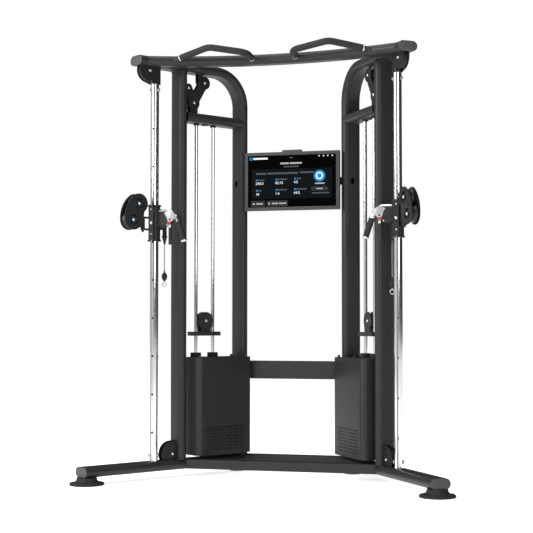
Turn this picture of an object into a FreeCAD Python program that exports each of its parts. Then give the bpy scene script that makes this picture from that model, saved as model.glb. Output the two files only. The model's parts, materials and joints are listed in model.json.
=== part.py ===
import FreeCAD, Part
import math
import os
import Sketcher

# Functional trainer: two cable towers that splay outwards towards the front, tied by a
# pull-up bar, a front base beam and two rear cross members, with a screen between them.
# Millimetres. +Z up, the user faces the machine along +Y, origin under the middle of the
# whole machine on the floor. The right tower is built and the left one is its mirror.

Vec = FreeCAD.Vector
Rot = FreeCAD.Rotation
Place = FreeCAD.Placement

doc = FreeCAD.newDocument("FunctionalTrainer")
sheet = doc.addObject("Spreadsheet::Sheet", "Sizes")

SIZES = [
    # frame tubes, a flat oval section
    ("tubeWide", 100), ("tubeThick", 50), ("tubeWall", 3),
    ("halfSpan", 533), ("towerYaw", 35.3), ("postGap", 400),
    ("baseZ", 62), ("baseFront", 570), ("heelPast", 35),
    ("armZ", 2100), ("armFront", 265), ("bendRadius", 170),
    ("crossZ", 1842), ("copeShort", 8),
    # guide column and its cable
    ("columnAhead", 153), ("columnDia", 42), ("columnWall", 4), ("columnTop", 1990),
    ("lockPitch", 95), ("lockHoleDia", 12), ("lockHoles", 13), ("lockFirstZ", 612),
    ("cableDia", 6), ("cableAhead", 41),
    # guide rods with the travelling block
    ("rodDia", 18), ("rodFront", 109), ("rodRear", 218), ("bumperDia", 56), ("bumperTall", 23),
    ("blockZ", 713), ("blockThick", 21), ("blockLong", 170), ("blockWide", 60),
    ("blockPulleyZ", 790), ("blockPulleyDia", 84),
    # housing
    ("housingFront", 57), ("housingShort", 6), ("housingIn", 96), ("housingOut", 48),
    ("housingBottom", 103), ("housingTop", 603), ("housingWall", 2), ("housingRound", 28),
    ("ventDia", 10), ("ventColumns", 12), ("ventRows", 8), ("ventPitch", 20),
    ("ventStart", 110), ("ventGap", 9), ("ventZ", 132),
    # pulleys and their brackets
    ("pulleyWide", 16), ("plateGap", 24), ("plateThick", 4), ("axleDia", 12), ("axleClear", 0.1),
    ("topPulleyAhead", 193), ("topPulleyZ", 2058), ("topPulleyDia", 108),
    ("basePulleyAhead", 46), ("basePulleyZ", 116), ("basePulleyDia", 104), ("baseCoverRadius", 66),
    ("idlerDia", 60), ("frontIdlerDia", 38), ("idlerPlateMargin", 4),
    ("frontIdlerZ", 1997), ("rearIdlerS", 152), ("rearIdlerZ", 2034),
    ("lowIdlerS", 84), ("lowIdlerZ", 1922),
    # carriage
    ("sleeveBottom", 1191), ("sleeveTall", 184), ("sleeveDia", 60), ("sleeveFlangeDia", 69),
    ("sleeveFlangeTall", 7), ("sleeveClear", 0.3), ("pinZ", 1277), ("pinDia", 10),
    ("plungerDia", 34), ("plungerLong", 65), ("handleDia", 22), ("gripDia", 30),
    ("leverDia", 16), ("leverLong", 122), ("leverX", 84), ("leverZ", 1296),
    ("swivelAhead", 71), ("swivelZ", 1256), ("swivelTall", 48), ("swivelDia", 22), ("swivelPinDia", 12),
    ("headPulleyDia", 86), ("headPulleyWide", 26), ("headGap", 38), ("headRadius", 50),
    ("headBulge", 143), ("headNeckAhead", 8), ("upperHubAhead", 35), ("upperHubZ", 1377),
    ("lowerHubAhead", 70), ("lowerHubZ", 1294),
    ("channelWide", 24), ("channelAhead", 50), ("channelBore", 11),
    ("exitBehind", 63), ("exitDia", 22), ("exitBottom", 1216), ("exitTop", 1296),
    ("tailRight", 226), ("tailLeft", 182), ("tailDia", 5), ("ballDia", 29), ("ballTall", 42),
    ("hookDia", 26), ("hookWire", 5),
    # cross members
    ("beamFront", -15), ("beamDeep", 60), ("beamTall", 48),
    ("rearBeamDeep", 60), ("crossMemberZ", 532), ("crossMemberTall", 94),
    ("crossMemberDeep", 50), ("crossMemberRound", 8),
    # pull-up bar
    ("barWide", 84), ("barThick", 50), ("barBack", -63), ("barRadius", 1893), ("barPast", 127),
    ("gripCoreDia", 26), ("gripSleeveDia", 33), ("gripRise", 44),
    ("gripInX", 112), ("gripPeakX", 304), ("gripOutX", 500), ("gripAhead", 230),
    # feet and caps
    ("footDia", 168), ("footAhead", 541), ("footRimTall", 12), ("footNeckDia", 96),
    ("rearFootDia", 84), ("rearFootShort", 15), ("capThick", 5),
    # screen
    ("screenWide", 511), ("screenTall", 308), ("screenThick", 26), ("screenClear", 1.5), ("screenZ", 1524),
    ("bezel", 9), ("glassThick", 3), ("hingeDia", 12), ("hingeBack", 22),
    ("boltHeadDia", 17), ("boltHeadTall", 6),
]
for row, (alias, number) in enumerate(SIZES, start=1):
    sheet.set("A%d" % row, alias)
    sheet.set("B%d" % row, str(number))
    sheet.setAlias("B%d" % row, alias)
doc.recompute()


def size(alias):
    """A driving dimension, read back from the sheet."""
    return float(sheet.get(alias))


YAW = math.radians(size("towerYaw"))
HALF_TUBE = size("tubeThick") / 2
HALF_WIDE = size("tubeWide") / 2
BASE_TOP = size("baseZ") + HALF_TUBE
BASE_BOTTOM = size("baseZ") - HALF_TUBE
ARM_BOTTOM = size("armZ") - HALF_TUBE
CROSS_BOTTOM = size("crossZ") - HALF_TUBE
CROSS_TOP = size("crossZ") + HALF_TUBE

# The machine is centred on Y between the front of the foot disc and the back of the base.
FRONT_Y = -size("footAhead") * math.cos(YAW) - size("footDia") / 2
BASE_REAR = size("postGap") + size("heelPast")
REAR_Y = (BASE_REAR + size("capThick")) * math.cos(YAW) + HALF_WIDE * math.sin(YAW)
POST_Y = -(FRONT_Y + REAR_Y) / 2

# Tower frame: X runs back along the tower from the front post, Y points to the machine's inside.
TOWER = Place(Vec(size("halfSpan"), POST_Y, 0), Rot(Vec(0, 0, 1), 90 + size("towerYaw")))
COLUMN = TOWER.multVec(Vec(-size("columnAhead"), 0, 0))
# Carriage frame: on the column's axis, its axes parallel to the machine's.
CARRIAGE = Place(COLUMN, Rot())
AHEAD = TOWER.Rotation.multVec(Vec(-1, 0, 0))


def originPlane(body, role):
    return [f for f in body.Origin.OriginFeatures if f.Role == role][0]


def newBody(name, place=None):
    body = doc.addObject("PartDesign::Body", name)
    if place is not None:
        body.Placement = place
    return body


def newSketch(body, plane, offset=None):
    sketch = body.newObject("Sketcher::SketchObject", body.Name + "Sketch")
    sketch.AttachmentSupport = (originPlane(body, plane), [""])
    sketch.MapMode = "FlatFace"
    if offset is not None:
        sketch.AttachmentOffset = offset
    return sketch


def bind(thing, path, expression):
    thing.setExpression(path, expression)


def addOval(sketch, wide, thick):
    """A flat oval about the sketch's origin, wide along its X; both are sheet expressions."""
    halfRun, radius = 25.0, 25.0
    first = sketch.GeometryCount
    up = Vec(0, 0, 1)
    sketch.addGeometry(Part.LineSegment(Vec(-halfRun, radius, 0), Vec(halfRun, radius, 0)))
    right = Part.Circle(Vec(halfRun, 0, 0), up, radius)
    sketch.addGeometry(Part.ArcOfCircle(right, -math.pi / 2, math.pi / 2))
    sketch.addGeometry(Part.LineSegment(Vec(halfRun, -radius, 0), Vec(-halfRun, -radius, 0)))
    left = Part.Circle(Vec(-halfRun, 0, 0), up, radius)
    sketch.addGeometry(Part.ArcOfCircle(left, math.pi / 2, 1.5 * math.pi))
    top, rightArc, bottom, leftArc = range(first, first + 4)
    for a, aEnd, b, bEnd in ((top, 2, rightArc, 2), (rightArc, 1, bottom, 1),
                             (bottom, 2, leftArc, 2), (leftArc, 1, top, 1)):
        sketch.addConstraint(Sketcher.Constraint("Tangent", a, aEnd, b, bEnd))
    sketch.addConstraint(Sketcher.Constraint("Horizontal", top))
    sketch.addConstraint(Sketcher.Constraint("Equal", rightArc, leftArc))
    sketch.addConstraint(Sketcher.Constraint("Symmetric", rightArc, 3, leftArc, 3, -1, 1))
    tall = sketch.addConstraint(Sketcher.Constraint("Radius", rightArc, radius))
    run = sketch.addConstraint(Sketcher.Constraint("DistanceX", top, 1, top, 2, 2 * halfRun))
    bind(sketch, "Constraints[%d]" % tall, "(%s) / 2" % thick)
    bind(sketch, "Constraints[%d]" % run, "(%s) - (%s)" % (wide, thick))


def addTubeSection(sketch, wide="Sizes.tubeWide", thick="Sizes.tubeThick"):
    addOval(sketch, wide, thick)
    addOval(sketch, wide + " - 2 * Sizes.tubeWall", thick + " - 2 * Sizes.tubeWall")


def addCircle(sketch, dia, x=0.0, y=0.0):
    index = sketch.addGeometry(Part.Circle(Vec(x, y, 0), Vec(0, 0, 1), 5))
    which = sketch.addConstraint(Sketcher.Constraint("Diameter", index, 10))
    bind(sketch, "Constraints[%d]" % which, dia)
    return index


def addOutline(sketch, points):
    """A closed outline of straight edges."""
    first = sketch.GeometryCount
    count = len(points)
    for i in range(count):
        a, b = points[i], points[(i + 1) % count]
        sketch.addGeometry(Part.LineSegment(Vec(a[0], a[1], 0), Vec(b[0], b[1], 0)))
    for i in range(count):
        follows = first + (i + 1) % count
        sketch.addConstraint(Sketcher.Constraint("Coincident", first + i, 2, follows, 1))


def addSlot(sketch, a, b, wide):
    """A round-ended bar from point a to point b."""
    run = Vec(b[0] - a[0], b[1] - a[1], 0)
    turn = math.atan2(run.y, run.x)
    side = Vec(-math.sin(turn), math.cos(turn), 0) * (wide / 2)
    start, end = Vec(a[0], a[1], 0), Vec(b[0], b[1], 0)
    up = Vec(0, 0, 1)
    sketch.addGeometry(Part.LineSegment(start + side, end + side))
    endRing = Part.Circle(end, up, wide / 2)
    sketch.addGeometry(Part.ArcOfCircle(endRing, turn - math.pi / 2, turn + math.pi / 2))
    sketch.addGeometry(Part.LineSegment(end - side, start - side))
    startRing = Part.Circle(start, up, wide / 2)
    sketch.addGeometry(Part.ArcOfCircle(startRing, turn + math.pi / 2, turn + 1.5 * math.pi))


def pad(body, sketch, length, reverse=False):
    feature = body.newObject("PartDesign::Pad", body.Name + "Pad")
    feature.Profile = sketch
    feature.Reversed = reverse
    bind(feature, "Length", length)
    return feature


def pocket(body, sketch, length, reverse=False):
    """Cuts along the sketch's normal reversed, or along it when reverse is set."""
    feature = body.newObject("PartDesign::Pocket", body.Name + "Pocket")
    feature.Profile = sketch
    feature.Reversed = reverse
    bind(feature, "Length", length)
    return feature


# A sketch on YZ with its normal along +X: sketch X is body Y and sketch Y is body Z.
def atX(x, z=0.0):
    return Place(Vec(0, z, x), Rot())


# A sketch on XY, lifted by z.
def atZ(z, x=0.0, turn=0.0):
    return Place(Vec(x, 0, z), Rot(Vec(0, 0, 1), turn))


# The XZ plane's normal is body -Y, so a sketch pushed by -u starts at body Y = u.
def atU(u):
    return Place(Vec(0, 0, -u), Rot())


def cylinder(name, dia, length, place):
    shape = doc.addObject("Part::Cylinder", name)
    bind(shape, "Radius", "(%s) / 2" % dia)
    bind(shape, "Height", length)
    shape.Placement = place
    return shape


def box(name, sizes, place):
    shape = doc.addObject("Part::Box", name)
    shape.Length, shape.Width, shape.Height = sizes
    shape.Placement = place
    return shape


def fuse(name, pieces):
    joined = doc.addObject("Part::MultiFuse", name)
    joined.Shapes = pieces
    joined.Refine = True
    return joined


def cut(name, base, tools):
    tool = tools[0] if len(tools) == 1 else fuse(name + "Tools", tools)
    result = doc.addObject("Part::Cut", name)
    result.Base = base
    result.Tool = tool
    return result


def acrossTower(s, u, z):
    """Placement in the tower frame whose own Z runs across the tower, towards the inside."""
    return TOWER.multiply(Place(Vec(s, u, z), Rot(Vec(1, 0, 0), -90)))


def uprightTower(s, u, z):
    return TOWER.multiply(Place(Vec(s, u, z), Rot()))


def inCarriage(x, y, z, rotation=None):
    return CARRIAGE.multiply(Place(Vec(x, y, z), rotation or Rot()))


nodes = {}


def keep(label, thing):
    thing.Label = label
    nodes[label] = thing


def mirrored(name, thing):
    copy = doc.addObject("Part::Mirroring", name)
    copy.Source = thing
    copy.Normal = (1, 0, 0)
    copy.Base = (0, 0, 0)
    return copy


def keepBoth(label, thing):
    """One node that holds the right-hand piece and its mirror."""
    both = doc.addObject("Part::Compound", label + "Pair")
    both.Links = [thing, mirrored(label + "Left", thing)]
    keep(label, both)


def keepEach(label, thing):
    """Two nodes, one for each side."""
    keep("right_" + label, thing)
    keep("left_" + label, mirrored(label + "Left", thing))


# ---- frame tubes ---------------------------------------------------------------------

def frontPost():
    body = newBody("FrontPost", TOWER)
    section = newSketch(body, "XY_Plane", atZ(BASE_TOP, 0, 90))
    addTubeSection(section)
    pad(body, section, "Sizes.armZ - Sizes.baseZ - Sizes.tubeThick")
    # slot in the front wall for the base pulley
    slot = newSketch(body, "YZ_Plane", atX(-HALF_TUBE - 1))
    half = size("plateGap") / 2
    top = size("basePulleyZ") + size("baseCoverRadius")
    addOutline(slot, [(-half, BASE_TOP - 1), (half, BASE_TOP - 1), (half, top), (-half, top)])
    pocket(body, slot, "Sizes.tubeThick / 2", True)
    return body


def topTube():
    body = newBody("TopTube", TOWER)
    spine = newSketch(body, "XZ_Plane")
    radius, rear, arm = size("bendRadius"), size("postGap"), size("armZ")
    bendX, bendZ = rear - radius, arm - radius
    spine.addGeometry(Part.LineSegment(Vec(-size("armFront"), arm, 0), Vec(bendX, arm, 0)))
    ring = Part.Circle(Vec(bendX, bendZ, 0), Vec(0, 0, 1), radius)
    spine.addGeometry(Part.ArcOfCircle(ring, 0, math.pi / 2))
    spine.addGeometry(Part.LineSegment(Vec(rear, bendZ, 0), Vec(rear, BASE_TOP, 0)))
    section = newSketch(body, "YZ_Plane", atX(-size("armFront"), arm))
    addTubeSection(section)
    doc.recompute()
    pipe = body.newObject("PartDesign::AdditivePipe", "TopTubePipe")
    pipe.Profile = section
    pipe.Spine = spine
    doc.recompute()
    # opening under the arm for the top pulley
    mouth = newSketch(body, "XY_Plane", atZ(ARM_BOTTOM - 1))
    reach = size("topPulleyDia") / 2 + 3
    middle, half = -size("topPulleyAhead"), size("plateGap") / 2
    addOutline(mouth, [(middle - reach, -half), (middle + reach, -half),
                       (middle + reach, half), (middle - reach, half)])
    pocket(body, mouth, "Sizes.tubeThick / 2", True)
    # oblong hole in the front wall of the rear post
    oblong = newSketch(body, "YZ_Plane", atX(rear - HALF_TUBE - 1))
    addSlot(oblong, (0, size("screenZ") - 10), (0, size("screenZ") + 2), 20)
    pocket(body, oblong, "Sizes.tubeWall * 3", True)
    return body


def baseTube():
    body = newBody("BaseTube", TOWER)
    section = newSketch(body, "YZ_Plane", atX(-size("baseFront"), size("baseZ")))
    addTubeSection(section)
    pad(body, section, "Sizes.baseFront + Sizes.postGap + Sizes.heelPast")
    # opening in the top for the base pulley
    mouth = newSketch(body, "XY_Plane", atZ(BASE_TOP + 1))
    reach = size("basePulleyDia") / 2 + 3
    middle, half = -size("basePulleyAhead"), size("plateGap") / 2
    addOutline(mouth, [(middle - reach, -half), (middle + reach, -half),
                       (middle + reach, half), (middle - reach, half)])
    pocket(body, mouth, "Sizes.tubeThick / 2")
    return body


def upperCrossTube():
    body = newBody("UpperCrossTube", TOWER)
    section = newSketch(body, "YZ_Plane", atX(HALF_TUBE, size("crossZ")))
    addTubeSection(section)
    pad(body, section, "Sizes.postGap - Sizes.tubeThick / 2 - Sizes.copeShort")
    # the end is shaped to sit round the rear post
    cope = newSketch(body, "XY_Plane", atZ(CROSS_TOP + 1, size("postGap"), 90))
    addOval(cope, "Sizes.tubeWide", "Sizes.tubeThick")
    pocket(body, cope, "Sizes.tubeThick + 2")
    return body


keepBoth("front_posts", frontPost())
keepBoth("top_tubes", topTube())
keepBoth("base_tubes", baseTube())
keepBoth("upper_cross_tubes", upperCrossTube())


# ---- guide column, its cable, rods and bumpers -----------------------------------------

def guideColumn():
    body = newBody("GuideColumn", CARRIAGE)
    section = newSketch(body, "XY_Plane", atZ(BASE_TOP))
    addCircle(section, "Sizes.columnDia")
    addCircle(section, "Sizes.columnDia - 2 * Sizes.columnWall")
    pad(body, section, "Sizes.columnTop - Sizes.baseZ - Sizes.tubeThick / 2")
    # lock holes in the inward wall
    holes = newSketch(body, "YZ_Plane", atX(0))
    for i in range(int(size("lockHoles"))):
        z = size("lockFirstZ") + i * size("lockPitch")
        addCircle(holes, "Sizes.lockHoleDia", 0, z)
    pocket(body, holes, "Sizes.columnDia")
    return body


def straightCable():
    x, y = 0, -size("cableAhead")
    length = "Sizes.columnTop - Sizes.baseZ - Sizes.tubeThick / 2"
    return cylinder("ColumnCable", "Sizes.cableDia", length, inCarriage(x, y, BASE_TOP))


def guideRods():
    length = "Sizes.crossZ - Sizes.tubeThick / 2 - Sizes.housingTop"
    rods = [cylinder("Rod%d" % i, "Sizes.rodDia", length, uprightTower(size(s), 0, size("housingTop")))
            for i, s in enumerate(("rodFront", "rodRear"))]
    pair = doc.addObject("Part::Compound", "GuideRods")
    pair.Links = rods
    return pair


def rodBumpers():
    rings = []
    for i, s in enumerate(("rodFront", "rodRear")):
        body = newBody("Bumper%d" % i, uprightTower(size(s), 0, 0))
        section = newSketch(body, "XY_Plane", atZ(size("housingTop")))
        addCircle(section, "Sizes.bumperDia")
        addCircle(section, "Sizes.rodDia")
        pad(body, section, "Sizes.bumperTall")
        rings.append(body)
    pair = doc.addObject("Part::Compound", "RodBumpers")
    pair.Links = rings
    return pair


keepBoth("guide_columns", guideColumn())
keepBoth("column_cables", straightCable())
keepBoth("guide_rods", guideRods())
keepBoth("rod_bumpers", rodBumpers())


# ---- housing ---------------------------------------------------------------------------

def housingOutline(inset):
    front = size("housingFront") + inset
    rear = size("postGap") - size("housingShort") - inset
    between = size("postGap") - HALF_TUBE - 2 - inset
    outer = -size("housingOut") + inset
    step = HALF_WIDE + 1 + inset
    inner = size("housingIn") - inset
    corner = size("housingRound") - inset
    return front, rear, between, outer, step, inner, corner


def addHousingOutline(sketch, inset):
    front, rear, between, outer, step, inner, corner = housingOutline(inset)
    points = [(front, inner - corner), (front, outer), (between, outer), (between, step),
              (rear, step), (rear, inner), (front + corner, inner)]
    for a, b in zip(points, points[1:]):
        sketch.addGeometry(Part.LineSegment(Vec(a[0], a[1], 0), Vec(b[0], b[1], 0)))
    ring = Part.Circle(Vec(front + corner, inner - corner, 0), Vec(0, 0, 1), corner)
    sketch.addGeometry(Part.ArcOfCircle(ring, math.pi / 2, math.pi))


def housing():
    body = newBody("Housing", TOWER)
    outline = newSketch(body, "XY_Plane", atZ(size("housingBottom")))
    addHousingOutline(outline, 0.0)
    pad(body, outline, "Sizes.housingTop - Sizes.housingBottom")
    hollow = newSketch(body, "XY_Plane", atZ(size("housingBottom")))
    addHousingOutline(hollow, size("housingWall"))
    pocket(body, hollow, "Sizes.housingTop - Sizes.housingBottom - Sizes.housingWall", True)
    # staggered vent holes low on the inner wall
    vents = newSketch(body, "XZ_Plane", atU(size("housingIn") + 1))
    pitch = size("ventPitch")
    for row in range(int(size("ventRows"))):
        shift = pitch / 2 if row % 2 else 0.0
        for column in range(int(size("ventColumns"))):
            x = size("ventStart") + column * pitch + shift
            if column >= size("ventColumns") / 2:
                x = x + size("ventGap")
            addCircle(vents, "Sizes.ventDia", x, size("ventZ") + row * pitch * 0.8)
    pocket(body, vents, "Sizes.housingWall + 2", True)
    return body


keepEach("housing", housing())


# ---- pulleys -----------------------------------------------------------------------------

def pulley(name, dia, place, spokes=False, wide="pulleyWide"):
    """A grooved wheel whose axis runs across its tower."""
    body = newBody(name, place)
    half = size(wide) / 2
    radius = size(dia) / 2
    groove = 5.0
    hole = size("axleDia") / 2 + size("axleClear")
    profile = newSketch(body, "XZ_Plane")
    addOutline(profile, [(hole, -half), (radius, -half), (radius - groove, -2.5), (radius - groove, 2.5),
                         (radius, half), (hole, half)])
    wheel = body.newObject("PartDesign::Revolution", name + "Turn")
    wheel.Profile = profile
    wheel.ReferenceAxis = (profile, ["V_Axis"])
    wheel.Angle = 360
    doc.recompute()
    if spokes:
        window = newSketch(body, "XY_Plane", atZ(-half - 1))
        inner, outer, spread = hole + 8, radius - groove - 6, math.radians(38)
        for sign, reach in ((1, outer), (-1, inner)):
            ring = Part.Circle(Vec(0, 0, 0), Vec(0, 0, 1), reach)
            window.addGeometry(Part.ArcOfCircle(ring, -spread, spread))
        for sign in (1, -1):
            ray = Vec(math.cos(spread), sign * math.sin(spread), 0)
            window.addGeometry(Part.LineSegment(ray * inner, ray * outer))
        gap = pocket(body, window, "Sizes.%s + 2" % wide, True)
        doc.recompute()
        pattern = body.newObject("PartDesign::PolarPattern", name + "Spokes")
        pattern.Originals = [gap]
        pattern.Axis = (profile, ["V_Axis"])
        pattern.Angle = 360
        pattern.Occurrences = 3
        body.Tip = pattern
    return body


def axle(name, s, z):
    outside = size("plateGap") / 2 + size("plateThick")
    return cylinder(name, "Sizes.axleDia", "Sizes.plateGap + 2 * Sizes.plateThick",
                    acrossTower(s, -outside, z))


def sidePlates(name, build):
    """Two plates, one each side of a pulley, from one outline in the tower's own plane."""
    plates = []
    for side, u in (("In", size("plateGap") / 2), ("Out", -size("plateGap") / 2 - size("plateThick"))):
        body = newBody(name + side, TOWER)
        sketch = newSketch(body, "XZ_Plane", atU(u))
        build(sketch)
        pad(body, sketch, "Sizes.plateThick", True)
        plates.append(body)
    return plates


def topBracketOutline(sketch):
    """Square to the arm and the column, round about the pulley at the front."""
    s, z = -size("topPulleyAhead"), size("topPulleyZ")
    radius = size("topPulleyDia") / 2 + 6
    rear = -size("columnAhead") + size("columnDia") / 2 + 3
    low = size("columnTop")
    frontTop = (s - math.sqrt(radius ** 2 - (ARM_BOTTOM - z) ** 2), ARM_BOTTOM)
    endTurn = math.radians(-97)
    end = (s + radius * math.cos(endTurn), z + radius * math.sin(endTurn))
    startTurn = math.atan2(frontTop[1] - z, frontTop[0] - s)
    ring = Part.Circle(Vec(s, z, 0), Vec(0, 0, 1), radius)
    sketch.addGeometry(Part.ArcOfCircle(ring, startTurn, endTurn + 2 * math.pi))
    neck = (-size("columnAhead") - size("columnDia") / 2 - 3, low)
    points = [end, neck, (rear, low), (rear, ARM_BOTTOM), frontTop]
    for a, b in zip(points, points[1:]):
        sketch.addGeometry(Part.LineSegment(Vec(a[0], a[1], 0), Vec(b[0], b[1], 0)))


def topBracket():
    plates = sidePlates("TopBracket", topBracketOutline)
    s, column, radius = -size("topPulleyAhead"), -size("columnAhead"), size("columnDia") / 2
    gap = size("plateGap")
    # saddle that closes the column's top between the plates
    saddle = box("TopSaddle", (2 * radius + 6, gap, 8),
                 uprightTower(column - radius - 3, -gap / 2, size("columnTop")))
    web = box("TopWeb", (5, gap, ARM_BOTTOM - size("columnTop")),
              uprightTower(column + radius - 2, -gap / 2, size("columnTop")))
    spindle = axle("TopAxle", s, size("topPulleyZ"))
    # lug that the column's cable runs into
    guide = cylinder("TopLug", "Sizes.cableDia * 2.4", "14",
                     inCarriage(0, -size("cableAhead"), size("columnTop")))
    arm = box("TopLugArm", (10, size("cableAhead"), 8), inCarriage(-5, -size("cableAhead"), size("columnTop")))
    return fuse("TopBracket", plates + [saddle, web, spindle, guide, arm])


def baseBracketOutline(sketch):
    s, z = -size("basePulleyAhead"), size("basePulleyZ")
    radius = size("baseCoverRadius")
    drop = z - BASE_TOP
    startTurn = math.pi / 2
    endTurn = math.pi + math.asin(drop / radius)
    ring = Part.Circle(Vec(s, z, 0), Vec(0, 0, 1), radius)
    sketch.addGeometry(Part.ArcOfCircle(ring, startTurn, endTurn))
    low = (s + radius * math.cos(endTurn), BASE_TOP)
    points = [low, (-HALF_TUBE, BASE_TOP), (-HALF_TUBE, z + radius), (s, z + radius)]
    for a, b in zip(points, points[1:]):
        sketch.addGeometry(Part.LineSegment(Vec(a[0], a[1], 0), Vec(b[0], b[1], 0)))


def baseBracket():
    plates = sidePlates("BaseBracket", baseBracketOutline)
    spindle = axle("BaseAxle", -size("basePulleyAhead"), size("basePulleyZ"))
    return fuse("BaseBracket", plates + [spindle])


IDLERS = (("frontIdler", "frontIdlerDia"), ("rearIdler", "idlerDia"), ("lowIdler", "idlerDia"))
# The front idler's plates stand against the front post.
IDLER_S = {"frontIdler": HALF_TUBE + size("frontIdlerDia") / 2 + size("idlerPlateMargin"),
           "rearIdler": size("rearIdlerS"), "lowIdler": size("lowIdlerS")}


def idlerPlateOutlines():
    """Round-ended bars that join the three hubs to each other, the arm and the cross tube."""
    hubs = {name: (IDLER_S[name], size(name + "Z")) for name, dia in IDLERS}
    wide = size("idlerDia") + 2 * size("idlerPlateMargin")
    narrow = size("frontIdlerDia") + 2 * size("idlerPlateMargin")
    low = hubs["lowIdler"]
    rear = hubs["rearIdler"]
    front = hubs["frontIdler"]
    return [(front, low, narrow), (low, rear, narrow), (rear, (rear[0] + 0.1, rear[1]), wide),
            (low, (low[0] + 0.1, low[1]), wide), (low, (low[0], CROSS_TOP + narrow / 2), narrow)]


def idlerPlates():
    pieces = []
    spans = idlerPlateOutlines()
    for side, u in (("In", size("plateGap") / 2), ("Out", -size("plateGap") / 2 - size("plateThick"))):
        for i, (a, b, wide) in enumerate(spans):
            body = newBody("IdlerPlate%s%d" % (side, i), TOWER)
            sketch = newSketch(body, "XZ_Plane", atU(u))
            addSlot(sketch, a, b, wide)
            pad(body, sketch, "Sizes.plateThick", True)
            pieces.append(body)
        hanger = box("IdlerHanger" + side, (26, size("plateThick"), ARM_BOTTOM - size("rearIdlerZ")),
                     uprightTower(size("rearIdlerS") - 38, u, size("rearIdlerZ")))
        foot = box("IdlerFoot" + side, (44, size("plateThick"), 30),
                   uprightTower(size("lowIdlerS") - 22, u, CROSS_TOP))
        pieces.extend([hanger, foot])
    for name, dia in IDLERS:
        pieces.append(axle(name + "Axle", IDLER_S[name], size(name + "Z")))
    return fuse("IdlerPlates", pieces)


keepBoth("top_brackets", topBracket())
keepBoth("base_brackets", baseBracket())
keepBoth("idler_plates", idlerPlates())
keepEach("top_pulley", pulley("TopPulley", "topPulleyDia",
                              acrossTower(-size("topPulleyAhead"), 0, size("topPulleyZ")), True))
keepEach("base_pulley", pulley("BasePulley", "basePulleyDia",
                               acrossTower(-size("basePulleyAhead"), 0, size("basePulleyZ")), True))
for name, dia in IDLERS:
    place = acrossTower(IDLER_S[name], 0, size(name + "Z"))
    label = {"frontIdler": "idler_pulley_front", "rearIdler": "idler_pulley_rear",
             "lowIdler": "idler_pulley_low"}[name]
    keepEach(label, pulley(name + "Pulley", dia, place))


# ---- travelling block ----------------------------------------------------------------------

def travellingBlock():
    middle = (size("rodFront") + size("rodRear")) / 2
    long, wide, thick = size("blockLong"), size("blockWide"), size("blockThick")
    plate = box("BlockPlate", (long, wide, thick),
                uprightTower(middle - long / 2, -wide / 2, size("blockZ")))
    bores = [cylinder("BlockBore%d" % i, "Sizes.rodDia + 0.5", "Sizes.blockThick + 2",
                      uprightTower(size(s), 0, size("blockZ") - 1))
             for i, s in enumerate(("rodFront", "rodRear"))]
    drilled = cut("BlockDrilled", plate, bores)
    cheeks = []
    top = size("blockZ") + thick
    for i, u in enumerate((size("plateGap") / 2, -size("plateGap") / 2 - size("plateThick"))):
        cheeks.append(box("BlockCheek%d" % i, (62, size("plateThick"), size("blockPulleyZ") - top),
                          uprightTower(middle - 31, u, top)))
        cheeks.append(cylinder("BlockRound%d" % i, "Sizes.blockPulleyDia + 8", "Sizes.plateThick",
                               acrossTower(middle, u, size("blockPulleyZ"))))
    spindle = axle("BlockAxle", middle, size("blockPulleyZ"))
    return fuse("TravellingBlock", [drilled, spindle] + cheeks)


keepEach("travelling_block", travellingBlock())
blockMiddle = (size("rodFront") + size("rodRear")) / 2
keepEach("travelling_pulley", pulley("TravellingPulley", "blockPulleyDia",
                                     acrossTower(blockMiddle, 0, size("blockPulleyZ")), True))


# ---- carriage --------------------------------------------------------------------------------

def radialTurn():
    """Turns a piece's own X to point ahead along the tower."""
    return Rot(Vec(1, 0, 0), AHEAD)


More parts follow.
